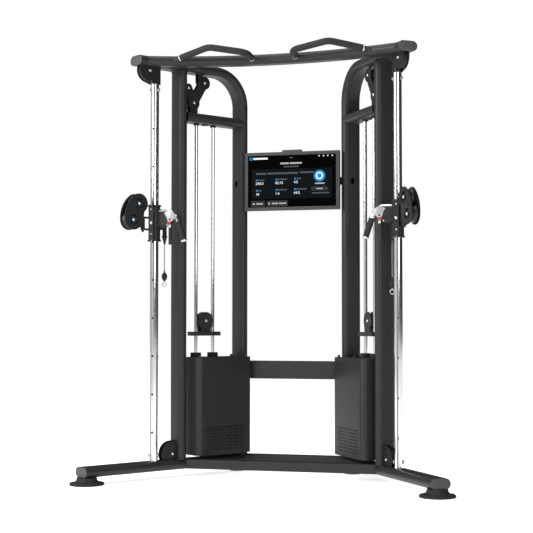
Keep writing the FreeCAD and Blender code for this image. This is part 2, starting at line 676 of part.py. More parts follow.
def carriageSleeve():
    bottom, tall = size("sleeveBottom"), size("sleeveTall")
    flange = size("sleeveFlangeTall")
    tube = cylinder("Sleeve", "Sizes.sleeveDia", "Sizes.sleeveTall", inCarriage(0, 0, bottom))
    low = cylinder("SleeveLow", "Sizes.sleeveFlangeDia", "Sizes.sleeveFlangeTall", inCarriage(0, 0, bottom))
    high = cylinder("SleeveHigh", "Sizes.sleeveFlangeDia", "Sizes.sleeveFlangeTall",
                    inCarriage(0, 0, bottom + tall - flange))
    inward = Rot(Vec(0, 1, 0), -90)
    plunger = cylinder("PlungerTube", "Sizes.plungerDia", "Sizes.plungerLong",
                       inCarriage(0, 0, size("pinZ"), inward))
    ears = []
    for i, y in enumerate((11.5, -15.5)):
        ears.append(box("Ear%d" % i, (size("leverX") - 16, 4, 60), inCarriage(-size("leverX") - 10, y, 1282)))
    lugs = []
    reach = size("swivelAhead")
    for i, z in enumerate((size("swivelZ") - 10, size("swivelZ") + size("swivelTall") + 1)):
        arm = box("Lug%d" % i, (reach, size("swivelDia"), 9),
                  inCarriage(0, 0, z, radialTurn()).multiply(Place(Vec(0, -size("swivelDia") / 2, 0), Rot())))
        nose = cylinder("LugNose%d" % i, "Sizes.swivelDia", "9",
                        inCarriage(AHEAD.x * reach, AHEAD.y * reach, z))
        lugs.extend([arm, nose])
    swivelPin = cylinder("SwivelPin", "Sizes.swivelPinDia", "Sizes.swivelTall + 32",
                         inCarriage(AHEAD.x * reach, AHEAD.y * reach, size("swivelZ") - 20))
    back = size("exitBehind")
    neck = box("ExitNeck", (back, 18, 40),
               inCarriage(0, 0, size("exitTop") - 44, Rot(Vec(1, 0, 0), AHEAD * -1)).multiply(
                   Place(Vec(0, -9, 0), Rot())))
    spout = cylinder("ExitSpout", "Sizes.exitDia", "Sizes.exitTop - Sizes.exitBottom",
                     inCarriage(-AHEAD.x * back, -AHEAD.y * back, size("exitBottom")))
    rim = cylinder("ExitRim", "Sizes.exitDia + 8", "6",
                   inCarriage(-AHEAD.x * back, -AHEAD.y * back, size("exitBottom")))
    # the cable runs down through a channel on the front of the sleeve
    wide, ahead = size("channelWide"), size("channelAhead")
    channel = box("Channel", (wide, ahead - size("columnDia") / 2 - 5, tall - 2 * flange),
                  inCarriage(-wide / 2, -ahead, bottom + flange))
    solid = fuse("SleeveSolid", [tube, low, high, plunger, swivelPin, neck, spout, rim, channel] + ears + lugs)
    bore = cylinder("SleeveBore", "Sizes.columnDia + 2 * Sizes.sleeveClear", "Sizes.sleeveTall + 2",
                    inCarriage(0, 0, bottom - 1))
    pinBore = cylinder("PinBore", "Sizes.pinDia + 0.3", "Sizes.plungerLong + 1",
                       inCarriage(0, 0, size("pinZ"), inward))
    cableBore = cylinder("ChannelBore", "Sizes.channelBore", "Sizes.sleeveTall + 2",
                         inCarriage(0, -size("cableAhead"), bottom - 1))
    return cut("CarriageSleeve", solid, [bore, pinBore, cableBore])


def tangentPath(points, radii):
    """A wire of straight runs joined by tangent arcs, one radius for each inner point."""
    edges = []
    last = points[0]
    for i in range(1, len(points) - 1):
        before = (points[i - 1] - points[i]).normalize()
        after = (points[i + 1] - points[i]).normalize()
        turn = math.pi - before.getAngle(after)
        back = radii[i - 1] * math.tan(turn / 2)
        start = points[i] + before * back
        end = points[i] + after * back
        bisector = (before + after).normalize()
        middle = points[i] + bisector * (radii[i - 1] / math.cos(turn / 2) - radii[i - 1])
        edges.append(Part.makeLine(last, start))
        edges.append(Part.Arc(start, middle, end).toShape())
        last = end
    edges.append(Part.makeLine(last, points[-1]))
    return Part.Wire(edges)


def sweptRod(name, path, dia):
    """A round bar along a path."""
    spine = doc.addObject("Part::Feature", name + "Path")
    spine.Shape = path
    start = path.Edges[0]
    heading = start.tangentAt(start.FirstParameter)
    ring = doc.addObject("Part::Circle", name + "Ring")
    bind(ring, "Radius", "(%s) / 2" % dia)
    ring.Placement = Place(path.OrderedVertexes[0].Point, Rot(Vec(0, 0, 1), heading))
    sweep = doc.addObject("Part::Sweep", name)
    sweep.Sections = [ring]
    sweep.Spine = (spine, ["Edge%d" % (i + 1) for i in range(len(path.Edges))])
    sweep.Solid = True
    sweep.Frenet = False
    sweep.Transition = "Right corner"
    return sweep


def between(a, b, share):
    return a + (b - a) * share


HANDLE = [CARRIAGE.multVec(v) for v in (Vec(-22, 0, 1343), Vec(-84, 0, 1343), Vec(-120, 0, 1306),
                                        Vec(-159, 0, 1192))]


def handleTube():
    path = tangentPath(HANDLE, (24, 40))
    bar = sweptRod("HandleBar", path, "Sizes.handleDia")
    sleeve = cylinder("HandleCope", "Sizes.sleeveDia", "Sizes.sleeveTall",
                      inCarriage(0, 0, size("sleeveBottom")))
    return cut("HandleTube", bar, [sleeve])


def handleGrip():
    start = between(HANDLE[2], HANDLE[3], 0.16)
    path = Part.Wire([Part.makeLine(start, between(HANDLE[2], HANDLE[3], 0.95))])
    outer = sweptRod("GripOuter", path, "Sizes.gripDia")
    inner = sweptRod("GripInner", path, "Sizes.handleDia")
    return cut("HandleGrip", outer, [inner])


def releaseLever():
    x = -size("leverX")
    hub = cylinder("LeverHub", "Sizes.leverDia + 4", "19",
                   inCarriage(x, 9.5, size("leverZ"), Rot(Vec(1, 0, 0), 90)))
    stem = cylinder("LeverStem", "Sizes.leverDia", "Sizes.leverLong",
                    inCarriage(x, 0, size("leverZ") - size("leverLong")))
    return fuse("ReleaseLever", [hub, stem])


def lockPin():
    inward = Rot(Vec(0, 1, 0), -90)
    start = size("columnDia") / 2 + 0.6
    stem = cylinder("PinStem", "Sizes.pinDia", "Sizes.plungerLong - Sizes.columnDia / 2 + 1",
                    inCarriage(-start, 0, size("pinZ"), inward))
    head = cylinder("PinHead", "Sizes.pinDia + 8", "6",
                    inCarriage(-size("plungerLong") - 1, 0, size("pinZ"), inward))
    return fuse("LockPin", [stem, head])


keepEach("carriage_sleeve", carriageSleeve())
keepEach("handle_tube", handleTube())
keepEach("handle_grip", handleGrip())
keepEach("release_lever", releaseLever())
keepEach("lock_pin", lockPin())


# ---- swivelling pulley head -------------------------------------------------------------------

SWIVEL_S = -size("columnAhead") - size("swivelAhead")
HUBS = ((size("upperHubAhead"), size("upperHubZ")), (size("lowerHubAhead"), size("lowerHubZ")))


def headPoint(ahead, z):
    """A place in the head's own plane, ahead of the swivel's axis."""
    return (SWIVEL_S - ahead, z)


def headOutline(sketch):
    """Round about each hub, one long bulge over both at the front, and a neck at the rear."""
    radius, bulge = size("headRadius"), size("headBulge")
    up, low = Vec(HUBS[0][0], HUBS[0][1], 0), Vec(HUBS[1][0], HUBS[1][1], 0)
    along = (up - low).normalize()
    front = Vec(along.y, -along.x, 0)
    half = up.distanceToPoint(low) / 2
    centre = (up + low) * 0.5 - front * math.sqrt((bulge - radius) ** 2 - half ** 2)
    turns = [math.atan2(hub.y - centre.y, hub.x - centre.x) for hub in (low, up)]
    notch, foot = math.radians(234), math.radians(226)

    def arc(middle, reach, start, end):
        # ahead runs against the sketch's X, so the arc is drawn the other way round
        ring = Part.Circle(Vec(SWIVEL_S - middle.x, middle.y, 0), Vec(0, 0, 1), reach)
        sketch.addGeometry(Part.ArcOfCircle(ring, math.pi - end, math.pi - start))

    arc(centre, bulge, turns[0], turns[1])
    arc(up, radius, turns[1], notch)
    arc(low, radius, foot - 2 * math.pi, turns[0])
    neck = size("headNeckAhead")
    corner = (up.x + radius * math.cos(notch), up.y + radius * math.sin(notch))
    heel = (low.x + radius * math.cos(foot), low.y + radius * math.sin(foot))
    points = [headPoint(*corner), headPoint(neck, corner[1] - 18), headPoint(neck, heel[1]), headPoint(*heel)]
    for a, b in zip(points, points[1:]):
        sketch.addGeometry(Part.LineSegment(Vec(a[0], a[1], 0), Vec(b[0], b[1], 0)))


def addSector(sketch, middle, inner, outer, turn, spread):
    """A window between two radii about a hub."""
    for sign, reach in ((1, outer), (-1, inner)):
        ring = Part.Circle(Vec(middle[0], middle[1], 0), Vec(0, 0, 1), reach)
        sketch.addGeometry(Part.ArcOfCircle(ring, turn - spread, turn + spread))
    for sign in (1, -1):
        ray = Vec(math.cos(turn + sign * spread), math.sin(turn + sign * spread), 0)
        centre = Vec(middle[0], middle[1], 0)
        sketch.addGeometry(Part.LineSegment(centre + ray * inner, centre + ray * outer))


def swivelHead():
    gap, thick = size("headGap") / 2, size("plateThick")
    hubs = [headPoint(*hub) for hub in HUBS]
    pieces = []
    for side, u in (("In", gap), ("Out", -gap - thick)):
        body = newBody("HeadPlate" + side, TOWER)
        sketch = newSketch(body, "XZ_Plane", atU(u))
        headOutline(sketch)
        pad(body, sketch, "Sizes.plateThick", True)
        windows = newSketch(body, "XZ_Plane", atU(u))
        for hub in hubs:
            for turn in (90, 210, 330):
                addSector(windows, hub, 11.5, 27, math.radians(turn), math.radians(42))
        pocket(body, windows, "Sizes.plateThick * 3")
        pieces.append(body)
    for name, hub in zip(("Upper", "Lower"), hubs):
        pieces.append(cylinder("Head%sAxle" % name, "Sizes.axleDia",
                               "Sizes.headGap + 2 * Sizes.plateThick",
                               acrossTower(hub[0], -gap - thick, hub[1])))
    tube = cylinder("HeadTube", "Sizes.swivelDia", "Sizes.swivelTall",
                    uprightTower(SWIVEL_S, 0, size("swivelZ")))
    web = box("HeadWeb", (20, 2 * gap, size("swivelTall") - 8),
              uprightTower(SWIVEL_S - 25, -gap, size("swivelZ") + 4))
    solid = fuse("HeadSolid", pieces + [tube, web])
    bore = cylinder("HeadBore", "Sizes.swivelPinDia + 2 * Sizes.axleClear", "Sizes.swivelTall + 2",
                    uprightTower(SWIVEL_S, 0, size("swivelZ") - 1))
    return cut("SwivelHead", solid, [bore])


keepEach("swivel_head", swivelHead())
for name, hub in zip(("upper", "lower"), HUBS):
    place = acrossTower(SWIVEL_S - hub[0], 0, hub[1])
    keepEach("swivel_pulley_" + name, pulley(name + "HeadPulley", "headPulleyDia", place, True, "headPulleyWide"))


# ---- free end of the cable ----------------------------------------------------------------------

TAIL = COLUMN - AHEAD * size("exitBehind")


def tailRoute(length):
    """Nearly straight: the stop's weight pulls the cable down."""
    top = size("exitBottom")
    sway = (0.0, 0.7, -0.6, 0.5, 0.0)
    return [Vec(TAIL.x + side, TAIL.y, top - length * i / 4.0) for i, side in enumerate(sway)]


def cableTail(name, length):
    points = tailRoute(length)
    radii = []
    for i in range(1, len(points) - 1):
        before, after = points[i - 1] - points[i], points[i + 1] - points[i]
        turn = math.pi - before.getAngle(after)
        radii.append(0.45 * min(before.Length, after.Length) / math.tan(turn / 2))
    print(name, "radii", [round(r) for r in radii])
    return sweptRod(name, tangentPath(points, radii), "Sizes.tailDia")


def ballStop(name, length):
    half, radius = size("ballTall") / 2, size("ballDia") / 2
    ball = doc.addObject("Part::Sphere", name + "Round")
    bind(ball, "Radius", "Sizes.ballDia / 2")
    ball.Placement = Place(Vec(TAIL.x, TAIL.y, size("exitBottom") - length - radius), Rot())
    body = cylinder(name + "Waist", "Sizes.ballDia", "Sizes.ballTall - Sizes.ballDia",
                    Place(Vec(TAIL.x, TAIL.y, size("exitBottom") - length - 2 * half + radius), Rot()))
    lower = doc.addObject("Part::Sphere", name + "Lower")
    bind(lower, "Radius", "Sizes.ballDia / 2")
    lower.Placement = Place(Vec(TAIL.x, TAIL.y, size("exitBottom") - length - 2 * half + radius), Rot())
    return fuse(name, [ball, body, lower])


def snapHook(name, length):
    top = size("exitBottom") - length - size("ballTall")
    wire, dia = size("hookWire"), size("hookDia")
    stud = cylinder(name + "Stud", "Sizes.hookWire + 3", "8", Place(Vec(TAIL.x, TAIL.y, top - 6), Rot()))
    ring = doc.addObject("Part::Torus", name + "Ring")
    bind(ring, "Radius1", "(Sizes.hookDia - Sizes.hookWire) / 2")
    bind(ring, "Radius2", "Sizes.hookWire / 2")
    ring.Placement = Place(Vec(TAIL.x, TAIL.y, top - 4 - dia / 2), Rot(Vec(1, 0, 0), 90))
    solid = fuse(name + "Solid", [stud, ring])
    above = box(name + "Above", (2 * wire + 6, 2 * wire + 6, 10),
                Place(Vec(TAIL.x - wire - 3, TAIL.y - wire - 3, top), Rot()))
    return cut(name, solid, [above])


for side, key in (("right", "tailRight"), ("left", "tailLeft")):
    title = side.capitalize()
    tail = cableTail(title + "Tail", size(key))
    ball = ballStop(title + "Ball", size(key))
    hook = snapHook(title + "Hook", size(key))
    for label, thing in (("cable_tail", tail), ("ball_stop", ball), ("snap_hook", hook)):
        if side == "left":
            thing = mirrored(title + label, thing)
        keep(side + "_" + label, thing)


# ---- cross members --------------------------------------------------------------------------------

def envelope(name, z, start, length):
    """The solid outer shape of a lengthwise tube of the right tower."""
    body = newBody(name, TOWER)
    section = newSketch(body, "YZ_Plane", atX(start, z))
    addOval(section, "Sizes.tubeWide", "Sizes.tubeThick")
    pad(body, section, length)
    return body


def bothSides(name, thing):
    return [thing, mirrored(name + "Mirror", thing)]


def rectangularBeam(name, y, deep, tall, z, reach):
    body = newBody(name, Place(Vec(-reach, y, z), Rot()))
    section = newSketch(body, "YZ_Plane")
    wall = size("tubeWall")
    for inset in (0.0, wall):
        a, b = deep / 2 - inset, tall / 2 - inset
        addOutline(section, [(-a, -b), (a, -b), (a, b), (-a, b)])
    doc.recompute()
    beam = body.newObject("PartDesign::Pad", name + "Pad")
    beam.Profile = section
    beam.Length = 2 * reach
    doc.recompute()
    solid = beam.Shape
    corners = [i + 1 for i, edge in enumerate(solid.Edges)
               if abs(edge.Length - 2 * reach) < 0.01 and
               abs(abs(edge.CenterOfMass.y) - deep / 2) < 0.01]
    rounding = body.newObject("PartDesign::Fillet", name + "Round")
    rounding.Base = (beam, ["Edge%d" % i for i in corners])
    bind(rounding, "Radius", "Sizes.crossMemberRound")
    body.Tip = rounding
    return body


baseEnvelope = envelope("BaseEnvelope", size("baseZ"), -size("baseFront"),
                        "Sizes.baseFront + Sizes.postGap + Sizes.heelPast + Sizes.capThick")
baseEnvelopes = bothSides("BaseEnvelope", baseEnvelope)
armEnvelope = envelope("ArmEnvelope", size("armZ"), -size("armFront"), "Sizes.armFront + Sizes.postGap")
armEnvelopes = bothSides("ArmEnvelope", armEnvelope)
postEnvelope = newBody("PostEnvelope", TOWER)
postSection = newSketch(postEnvelope, "XY_Plane", atZ(BASE_TOP, size("postGap"), 90))
addOval(postSection, "Sizes.tubeWide", "Sizes.tubeThick")
pad(postEnvelope, postSection, "Sizes.crossZ")
postEnvelopes = bothSides("PostEnvelope", postEnvelope)

REAR_POST = TOWER.multVec(Vec(size("postGap"), 0, 0))


def toeBeam():
    y = POST_Y + size("beamFront") + size("beamDeep") / 2
    tall = size("beamTall")
    beam = rectangularBeam("ToeBeam", y, size("beamDeep"), tall, BASE_TOP - tall / 2, size("halfSpan") - 30)
    return cut("ToeBeamCoped", beam, baseEnvelopes)


def rearBaseBeam():
    reach = REAR_POST.x - 20
    beam = rectangularBeam("RearBase", REAR_POST.y, size("rearBeamDeep"), size("tubeThick"),
                           size("baseZ"), reach)
    return cut("RearBaseCoped", beam, baseEnvelopes)


def rearCrossMember():
    reach = REAR_POST.x - 12
    beam = rectangularBeam("RearCross", REAR_POST.y, size("crossMemberDeep"), size("crossMemberTall"),
                           size("crossMemberZ"), reach)
    return cut("RearCrossCoped", beam, postEnvelopes)


keep("toe_beam", toeBeam())
keep("rear_base_beam", rearBaseBeam())
keep("rear_cross_member", rearCrossMember())


# ---- pull-up bar -------------------------------------------------------------------------------------

def barY(x):
    """Centre line of the bowed bar: its middle is farthest back."""
    radius = size("barRadius")
    return POST_Y + size("barBack") - (radius - math.sqrt(radius ** 2 - x ** 2))


def bowedBar(name, hollow):
    body = newBody(name, Place(Vec(0, 0, size("armZ")), Rot()))
    reach = size("halfSpan") + size("barPast")
    spine = newSketch(body, "XY_Plane")
    radius = size("barRadius")
    middle = POST_Y + size("barBack") - radius
    turn = math.asin(reach / radius)
    ring = Part.Circle(Vec(0, middle, 0), Vec(0, 0, 1), radius)
    spine.addGeometry(Part.ArcOfCircle(ring, math.pi / 2 - turn, math.pi / 2 + turn))
    start = Vec(reach, barY(reach), 0)
    # the section stands square to the bar's right-hand end
    heading = Place(start, Rot(Vec(0, 0, 1), -math.degrees(turn)).multiply(
        Rot(Vec(0.577350269, 0.577350269, 0.577350269), 120)))
    section = body.newObject("Sketcher::SketchObject", name + "Section")
    section.AttachmentSupport = (originPlane(body, "XY_Plane"), [""])
    section.MapMode = "FlatFace"
    section.AttachmentOffset = heading
    if hollow:
        addTubeSection(section, "Sizes.barWide", "Sizes.barThick")
    else:
        addOval(section, "Sizes.barWide", "Sizes.barThick")
    doc.recompute()
    pipe = body.newObject("PartDesign::AdditivePipe", name + "Pipe")
    pipe.Profile = section
    pipe.Spine = spine
    doc.recompute()
    return body


barTube = cut("BarTube", bowedBar("BowedBar", True), armEnvelopes)
barEnvelope = bowedBar("BarEnvelope", False)


def gripPath(trim):
    z, ahead = size("armZ"), POST_Y - size("gripAhead")
    inX, peakX, outX = size("gripInX"), size("gripPeakX"), size("gripOutX")
    bend = Vec(inX + 3, ahead + 26, z + 12)
    peak = Vec(peakX, ahead, z + size("gripRise"))
    start = Vec(inX, barY(inX) - size("barWide") / 2 + 8, z)
    end = Vec(outX, barY(outX) - size("barWide") / 2 + 8, z + 2)
    if trim > 0:
        start = start + (bend - start).normalize() * trim
        end = end + (peak - end).normalize() * trim * 1.7
    return tangentPath([start, bend, peak, end], (42, 90))


gripCore = sweptRod("GripCore", gripPath(0.0), "Sizes.gripCoreDia")
gripHole = sweptRod("GripHole", gripPath(0.0), "Sizes.gripCoreDia - 2 * Sizes.tubeWall")
gripTube = cut("GripTube", gripCore, [gripHole, barEnvelope])
weldment = doc.addObject("Part::Compound", "PullUpBar")
weldment.Links = [barTube, gripTube, mirrored("GripTubeLeft", gripTube)]
keep("pull_up_bar", weldment)
sleeveOuter = sweptRod("GripSleeveOuter", gripPath(24.0), "Sizes.gripSleeveDia")
keepBoth("grip_sleeves", cut("GripSleeve", sleeveOuter, [gripCore]))


# ---- feet and end caps -------------------------------------------------------------------------------

def frontFoot():
    place = uprightTower(-size("footAhead"), 0, 0)
    rim = cylinder("FootRim", "Sizes.footDia", "Sizes.footRimTall", place)
    neck = doc.addObject("Part::Cone", "FootNeck")
    bind(neck, "Radius1", "Sizes.footNeckDia * 0.62")
    bind(neck, "Radius2", "Sizes.footNeckDia / 2")
    bind(neck, "Height", "Sizes.baseZ - Sizes.tubeThick / 2 - Sizes.footRimTall")
    neck.Placement = uprightTower(-size("footAhead"), 0, size("footRimTall"))
    return fuse("FrontFoot", [rim, neck])


def rearFoot():
    return cylinder("RearFoot", "Sizes.rearFootDia", "Sizes.baseZ - Sizes.tubeThick / 2",
                    uprightTower(size("postGap") - size("rearFootShort"), 0, 0))


feet = doc.addObject("Part::Compound", "Feet")
feet.Links = [frontFoot(), rearFoot()]
keepBoth("feet", feet)


def endCap(name, s, z):
    body = newBody(name, TOWER)
    section = newSketch(body, "YZ_Plane", atX(s, z))
    addOval(section, "Sizes.tubeWide", "Sizes.tubeThick")
    pad(body, section, "Sizes.capThick")
    return body


caps = doc.addObject("Part::Compound", "Caps")
caps.Links = [endCap("ArmCap", -size("armFront") - size("capThick"), size("armZ")),
              endCap("LegCap", -size("baseFront") - size("capThick"), size("baseZ")),
              endCap("HeelCap", BASE_REAR, size("baseZ"))]
keepBoth("end_caps", caps)


# ---- bolts ---------------------------------------------------------------------------------------------

def boltHeads():
    """A domed head each side of every axle, and the column's two cross bolts."""
    heads = []
    spots = [(-size("topPulleyAhead"), size("topPulleyZ")), (-size("basePulleyAhead"), size("basePulleyZ"))]
    spots = spots + [(IDLER_S[name], size(name + "Z")) for name, dia in IDLERS]
    outside = size("plateGap") / 2 + size("plateThick")
    tall = size("boltHeadTall")
    for i, (s, z) in enumerate(spots):
        for side, u in (("In", outside), ("Out", -outside - tall)):
            heads.append(cylinder("Bolt%s%d" % (side, i), "Sizes.boltHeadDia", "Sizes.boltHeadTall",
                                  acrossTower(s, u, z)))
    return heads


def columnBolts():
    """Cross bolts near the column's two ends, seen only outside its wall."""
    reach = size("columnDia") / 2 + 10
    ends = []
    column = cylinder("BoltColumn", "Sizes.columnDia", "Sizes.columnTop", inCarriage(0, 0, 0))
    for i, z in enumerate((BASE_TOP + 29, size("columnTop") - 28)):
        bar = cylinder("CrossBolt%d" % i, "10", str(2 * reach),
                       inCarriage(-reach, 0, z, Rot(Vec(0, 1, 0), 90)))
        ends.append(cut("CrossBoltEnds%d" % i, bar, [column]))
    return ends


bolts = doc.addObject("Part::Compound", "Bolts")
bolts.Links = boltHeads() + columnBolts()
keepBoth("bolts", bolts)


# ---- screen ----------------------------------------------------------------------------------------------

# The screen stands clear in front of the rear posts.
POST_DEPTH = (HALF_WIDE - HALF_TUBE) * math.sin(YAW) + HALF_TUBE
SCREEN_FRONT = REAR_POST.y - POST_DEPTH - size("screenClear") - size("screenThick")
HINGE_Y = SCREEN_FRONT + size("screenThick") + size("hingeBack")


def screenCase():
    wide, tall, thick = size("screenWide"), size("screenTall"), size("screenThick")
    z = size("screenZ")
    shell = box("CaseShell", (wide, thick, tall), Place(Vec(-wide / 2, SCREEN_FRONT, z - tall / 2), Rot()))
    tab = box("CaseTab", (104, 18, 10), Place(Vec(-52, SCREEN_FRONT + 2, z + tall / 2), Rot()))
    edge, glass = size("bezel"), size("glassThick")
    recess = box("CaseRecess", (wide - 2 * edge, glass + 1, tall - 2 * edge),
                 Place(Vec(-wide / 2 + edge, SCREEN_FRONT - 1, z - tall / 2 + edge), Rot()))
    ears = []
    for i, x in enumerate((-36, 28)):
        ears.append(box("CaseEar%d" % i, (8, size("hingeBack") + 10, 24),
                        Place(Vec(x, SCREEN_FRONT + thick, z - 12), Rot())))
    solid = fuse("CaseSolid", [shell, tab] + ears)
    bore = cylinder("CaseBore", "Sizes.hingeDia + 2 * Sizes.axleClear", "90",
                    Place(Vec(-45, HINGE_Y, z), Rot(Vec(0, 1, 0), 90)))
    return cut("ScreenCase", solid, [recess, bore])


def screenGlass():
    wide, tall, edge = size("screenWide"), size("screenTall"), size("bezel")
    return box("ScreenGlass", (wide - 2 * edge, size("glassThick"), tall - 2 * edge),
               Place(Vec(-wide / 2 + edge, SCREEN_FRONT, size("screenZ") - tall / 2 + edge), Rot()))


def screenBracket():
    z = size("screenZ")
    pin = cylinder("HingePin", "Sizes.hingeDia", "82", Place(Vec(-41, HINGE_Y, z), Rot(Vec(0, 1, 0), 90)))
    knuckle = cylinder("HingeKnuckle", "Sizes.hingeDia + 10", "54",
                       Place(Vec(-27, HINGE_Y, z), Rot(Vec(0, 1, 0), 90)))
    drop = box("BracketDrop", (54, 22, 28), Place(Vec(-27, HINGE_Y, z - 14), Rot()))
    arm = box("BracketArm", (REAR_POST.x + 20, 12, 40), Place(Vec(-27, HINGE_Y + 14, z - 20), Rot()))
    plate = box("BracketPlate", (34, 12, 150), Place(Vec(REAR_POST.x - 41, HINGE_Y + 14, z - 75), Rot()))
    solid = fuse("BracketSolid", [pin, knuckle, drop, arm, plate])
    return cut("ScreenBracket", solid, [postEnvelopes[0]])


keep("screen_case", screenCase())
keep("screen_glass", screenGlass())
keep("screen_bracket", screenBracket())

doc.recompute()

faults = [thing.Name for thing in doc.Objects if "Invalid" in thing.State or "Error" in thing.State]
if faults:
    raise RuntimeError("objects that did not build: %s" % faults)
os.makedirs("parts", exist_ok=True)
for label, thing in nodes.items():
    shape = thing.Shape
    if shape.isNull() or not shape.isValid():
        raise RuntimeError("%s has no valid shape" % label)
for label, thing in nodes.items():
    thing.Shape.exportStep("parts/%s.step" % label)
    print(label, "solids", len(thing.Shape.Solids), "volume", round(thing.Shape.Volume))
whole = Part.makeCompound([thing.Shape for thing in nodes.values()])
print(len(nodes), "nodes", whole.BoundBox)
print("post", size("halfSpan"), POST_Y, "column", COLUMN, "ahead", AHEAD, "hinge", HINGE_Y)
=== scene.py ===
import bpy
import json
import math
from mathutils import Matrix, Vector


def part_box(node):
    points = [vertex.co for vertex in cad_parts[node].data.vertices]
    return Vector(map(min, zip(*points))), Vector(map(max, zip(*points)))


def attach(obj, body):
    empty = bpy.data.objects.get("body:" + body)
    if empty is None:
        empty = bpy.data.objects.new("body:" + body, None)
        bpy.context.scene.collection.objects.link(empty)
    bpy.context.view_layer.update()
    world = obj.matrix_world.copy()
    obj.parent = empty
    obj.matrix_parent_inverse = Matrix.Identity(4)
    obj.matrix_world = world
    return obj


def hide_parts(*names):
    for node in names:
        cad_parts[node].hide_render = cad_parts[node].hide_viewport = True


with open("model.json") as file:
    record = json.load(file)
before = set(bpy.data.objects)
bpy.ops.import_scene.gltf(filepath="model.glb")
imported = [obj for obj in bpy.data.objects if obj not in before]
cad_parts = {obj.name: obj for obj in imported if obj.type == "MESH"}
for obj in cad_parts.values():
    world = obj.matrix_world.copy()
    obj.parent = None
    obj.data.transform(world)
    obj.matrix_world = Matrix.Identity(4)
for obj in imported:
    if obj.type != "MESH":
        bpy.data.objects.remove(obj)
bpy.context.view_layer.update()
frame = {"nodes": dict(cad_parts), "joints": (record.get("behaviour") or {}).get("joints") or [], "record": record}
nodes = frame["nodes"]
record = frame["record"]
joints = {joint["name"]: joint for joint in frame["joints"]}
print("frame loaded:", len(nodes), "nodes")


# places on the right-hand tower: s runs back along it, u points to the inside
topSpin = joints["right_top_pulley_spin"]
inward = Vector(topSpin["axis"]).normalized()
back = Vector((inward.y, -inward.x, 0))
ahead = -back
up = Vector((0, 0, 1))
towerSizes = dict(topPulleyAhead=.193, columnAhead=.153, wide=.100, thick=.050,
                  baseZ=.062, armZ=2.100, crossZ=1.842, postGap=.400)
postFoot = Vector(topSpin["pos_m"]) + back * towerSizes["topPulleyAhead"]
postFoot.z = 0
baseTop = towerSizes["baseZ"] + towerSizes["thick"] / 2
armBottom = towerSizes["armZ"] - towerSizes["thick"] / 2


def towerPoint(s, u, z):
    return postFoot + back * s + inward * u + up * z


column = towerPoint(-towerSizes["columnAhead"], 0, 0)


def fresh():  # object mode with nothing selected
    if bpy.context.mode != "OBJECT":
        bpy.ops.object.mode_set(mode="OBJECT")
    bpy.ops.object.select_all(action="DESELECT")


def pick(obj):
    fresh()
    obj.select_set(True)
    bpy.context.view_layer.objects.active = obj


def applyPlace(obj):
    pick(obj)
    bpy.ops.object.transform_apply(location=True, rotation=True, scale=True)


def applyAll(obj):
    pick(obj)
    for modifier in list(obj.modifiers):
        bpy.ops.object.modifier_apply(modifier=modifier.name)


def cleanUp(obj):  # merge what coincides, then turn every face outwards
    pick(obj)
    bpy.ops.object.mode_set(mode="EDIT")
    bpy.ops.mesh.select_all(action="SELECT")
    bpy.ops.mesh.remove_doubles(threshold=1e-6)
    bpy.ops.mesh.normals_make_consistent(inside=False)
    bpy.ops.object.mode_set(mode="OBJECT")


def smooth(obj, angle=35):
    pick(obj)
    bpy.ops.object.shade_smooth_by_angle(angle=math.radians(angle))


def aim(obj, origin, direction, side=None):  # the piece's own Z looks along direction, its X along side
    z = Vector(direction).normalized()
    if side is None:
        side = (1, 0, 0) if abs(z.x) < .9 else (0, 1, 0)
    x = Vector(side)
    x = (x - z * x.dot(z)).normalized()
    turn = Matrix((x, z.cross(x), z)).transposed().to_4x4()
    obj.matrix_world = Matrix.Translation(Vector(origin)) @ turn
    applyPlace(obj)
    return obj


def onePoint(name):  # a mesh of a single point, left open in edit mode with the point selected
    fresh()
    bpy.ops.mesh.primitive_plane_add(size=.001, location=(0, 0, 0))
    obj = bpy.context.object
    obj.name = name
    bpy.ops.object.mode_set(mode="EDIT")
    bpy.ops.mesh.select_mode(type="VERT")
    bpy.ops.mesh.select_all(action="SELECT")
    bpy.ops.mesh.merge(type="CENTER")
    return obj


def drawOutline(corners):  # moves the point to the first corner, then extrudes it from corner to corner
    lastX, lastZ = corners[0]
    bpy.ops.transform.translate(value=(lastX, 0, lastZ))
    for x, z in corners[1:]:
        bpy.ops.mesh.extrude_region_move(TRANSFORM_OT_translate={"value": (x - lastX, 0, z - lastZ)})
        lastX, lastZ = x, z
    bpy.ops.mesh.select_all(action="SELECT")


def lathe(name, profile, steps=32):  # profile is a run of (radius, height)
    obj = onePoint(name)
    drawOutline(profile)
    bpy.ops.mesh.spin(steps=steps, angle=2 * math.pi, center=(0, 0, 0), axis=(0, 0, 1))
    bpy.ops.object.mode_set(mode="OBJECT")
    cleanUp(obj)
    smooth(obj)
    return obj


def copyOf(obj, name):
    pick(obj)
    bpy.ops.object.duplicate()
    bpy.context.object.name = name
    return bpy.context.object


def joined(pieces, name):
    fresh()
    for piece in pieces:
        piece.select_set(True)
    bpy.context.view_layer.objects.active = pieces[0]
    if len(pieces) > 1:
        bpy.ops.object.join()
    bpy.context.object.name = name
    return bpy.context.object


def mirrored(obj, name):  # the same piece on the left-hand tower
    twin = copyOf(obj, name)
    twin.scale.x = -1
    applyPlace(twin)
    bpy.ops.object.mode_set(mode="EDIT")
    bpy.ops.mesh.select_all(action="SELECT")
    bpy.ops.mesh.normals_make_consistent(inside=False)
    bpy.ops.object.mode_set(mode="OBJECT")
    return twin


def copiesAt(obj, places, name):  # one modelled piece set at (origin, direction) places and joined
    done = []
    for number, (origin, direction) in enumerate(places):
        done.append(aim(copyOf(obj, name + str(number)), origin, direction))
    bpy.data.objects.remove(obj)
    return joined(done, name)


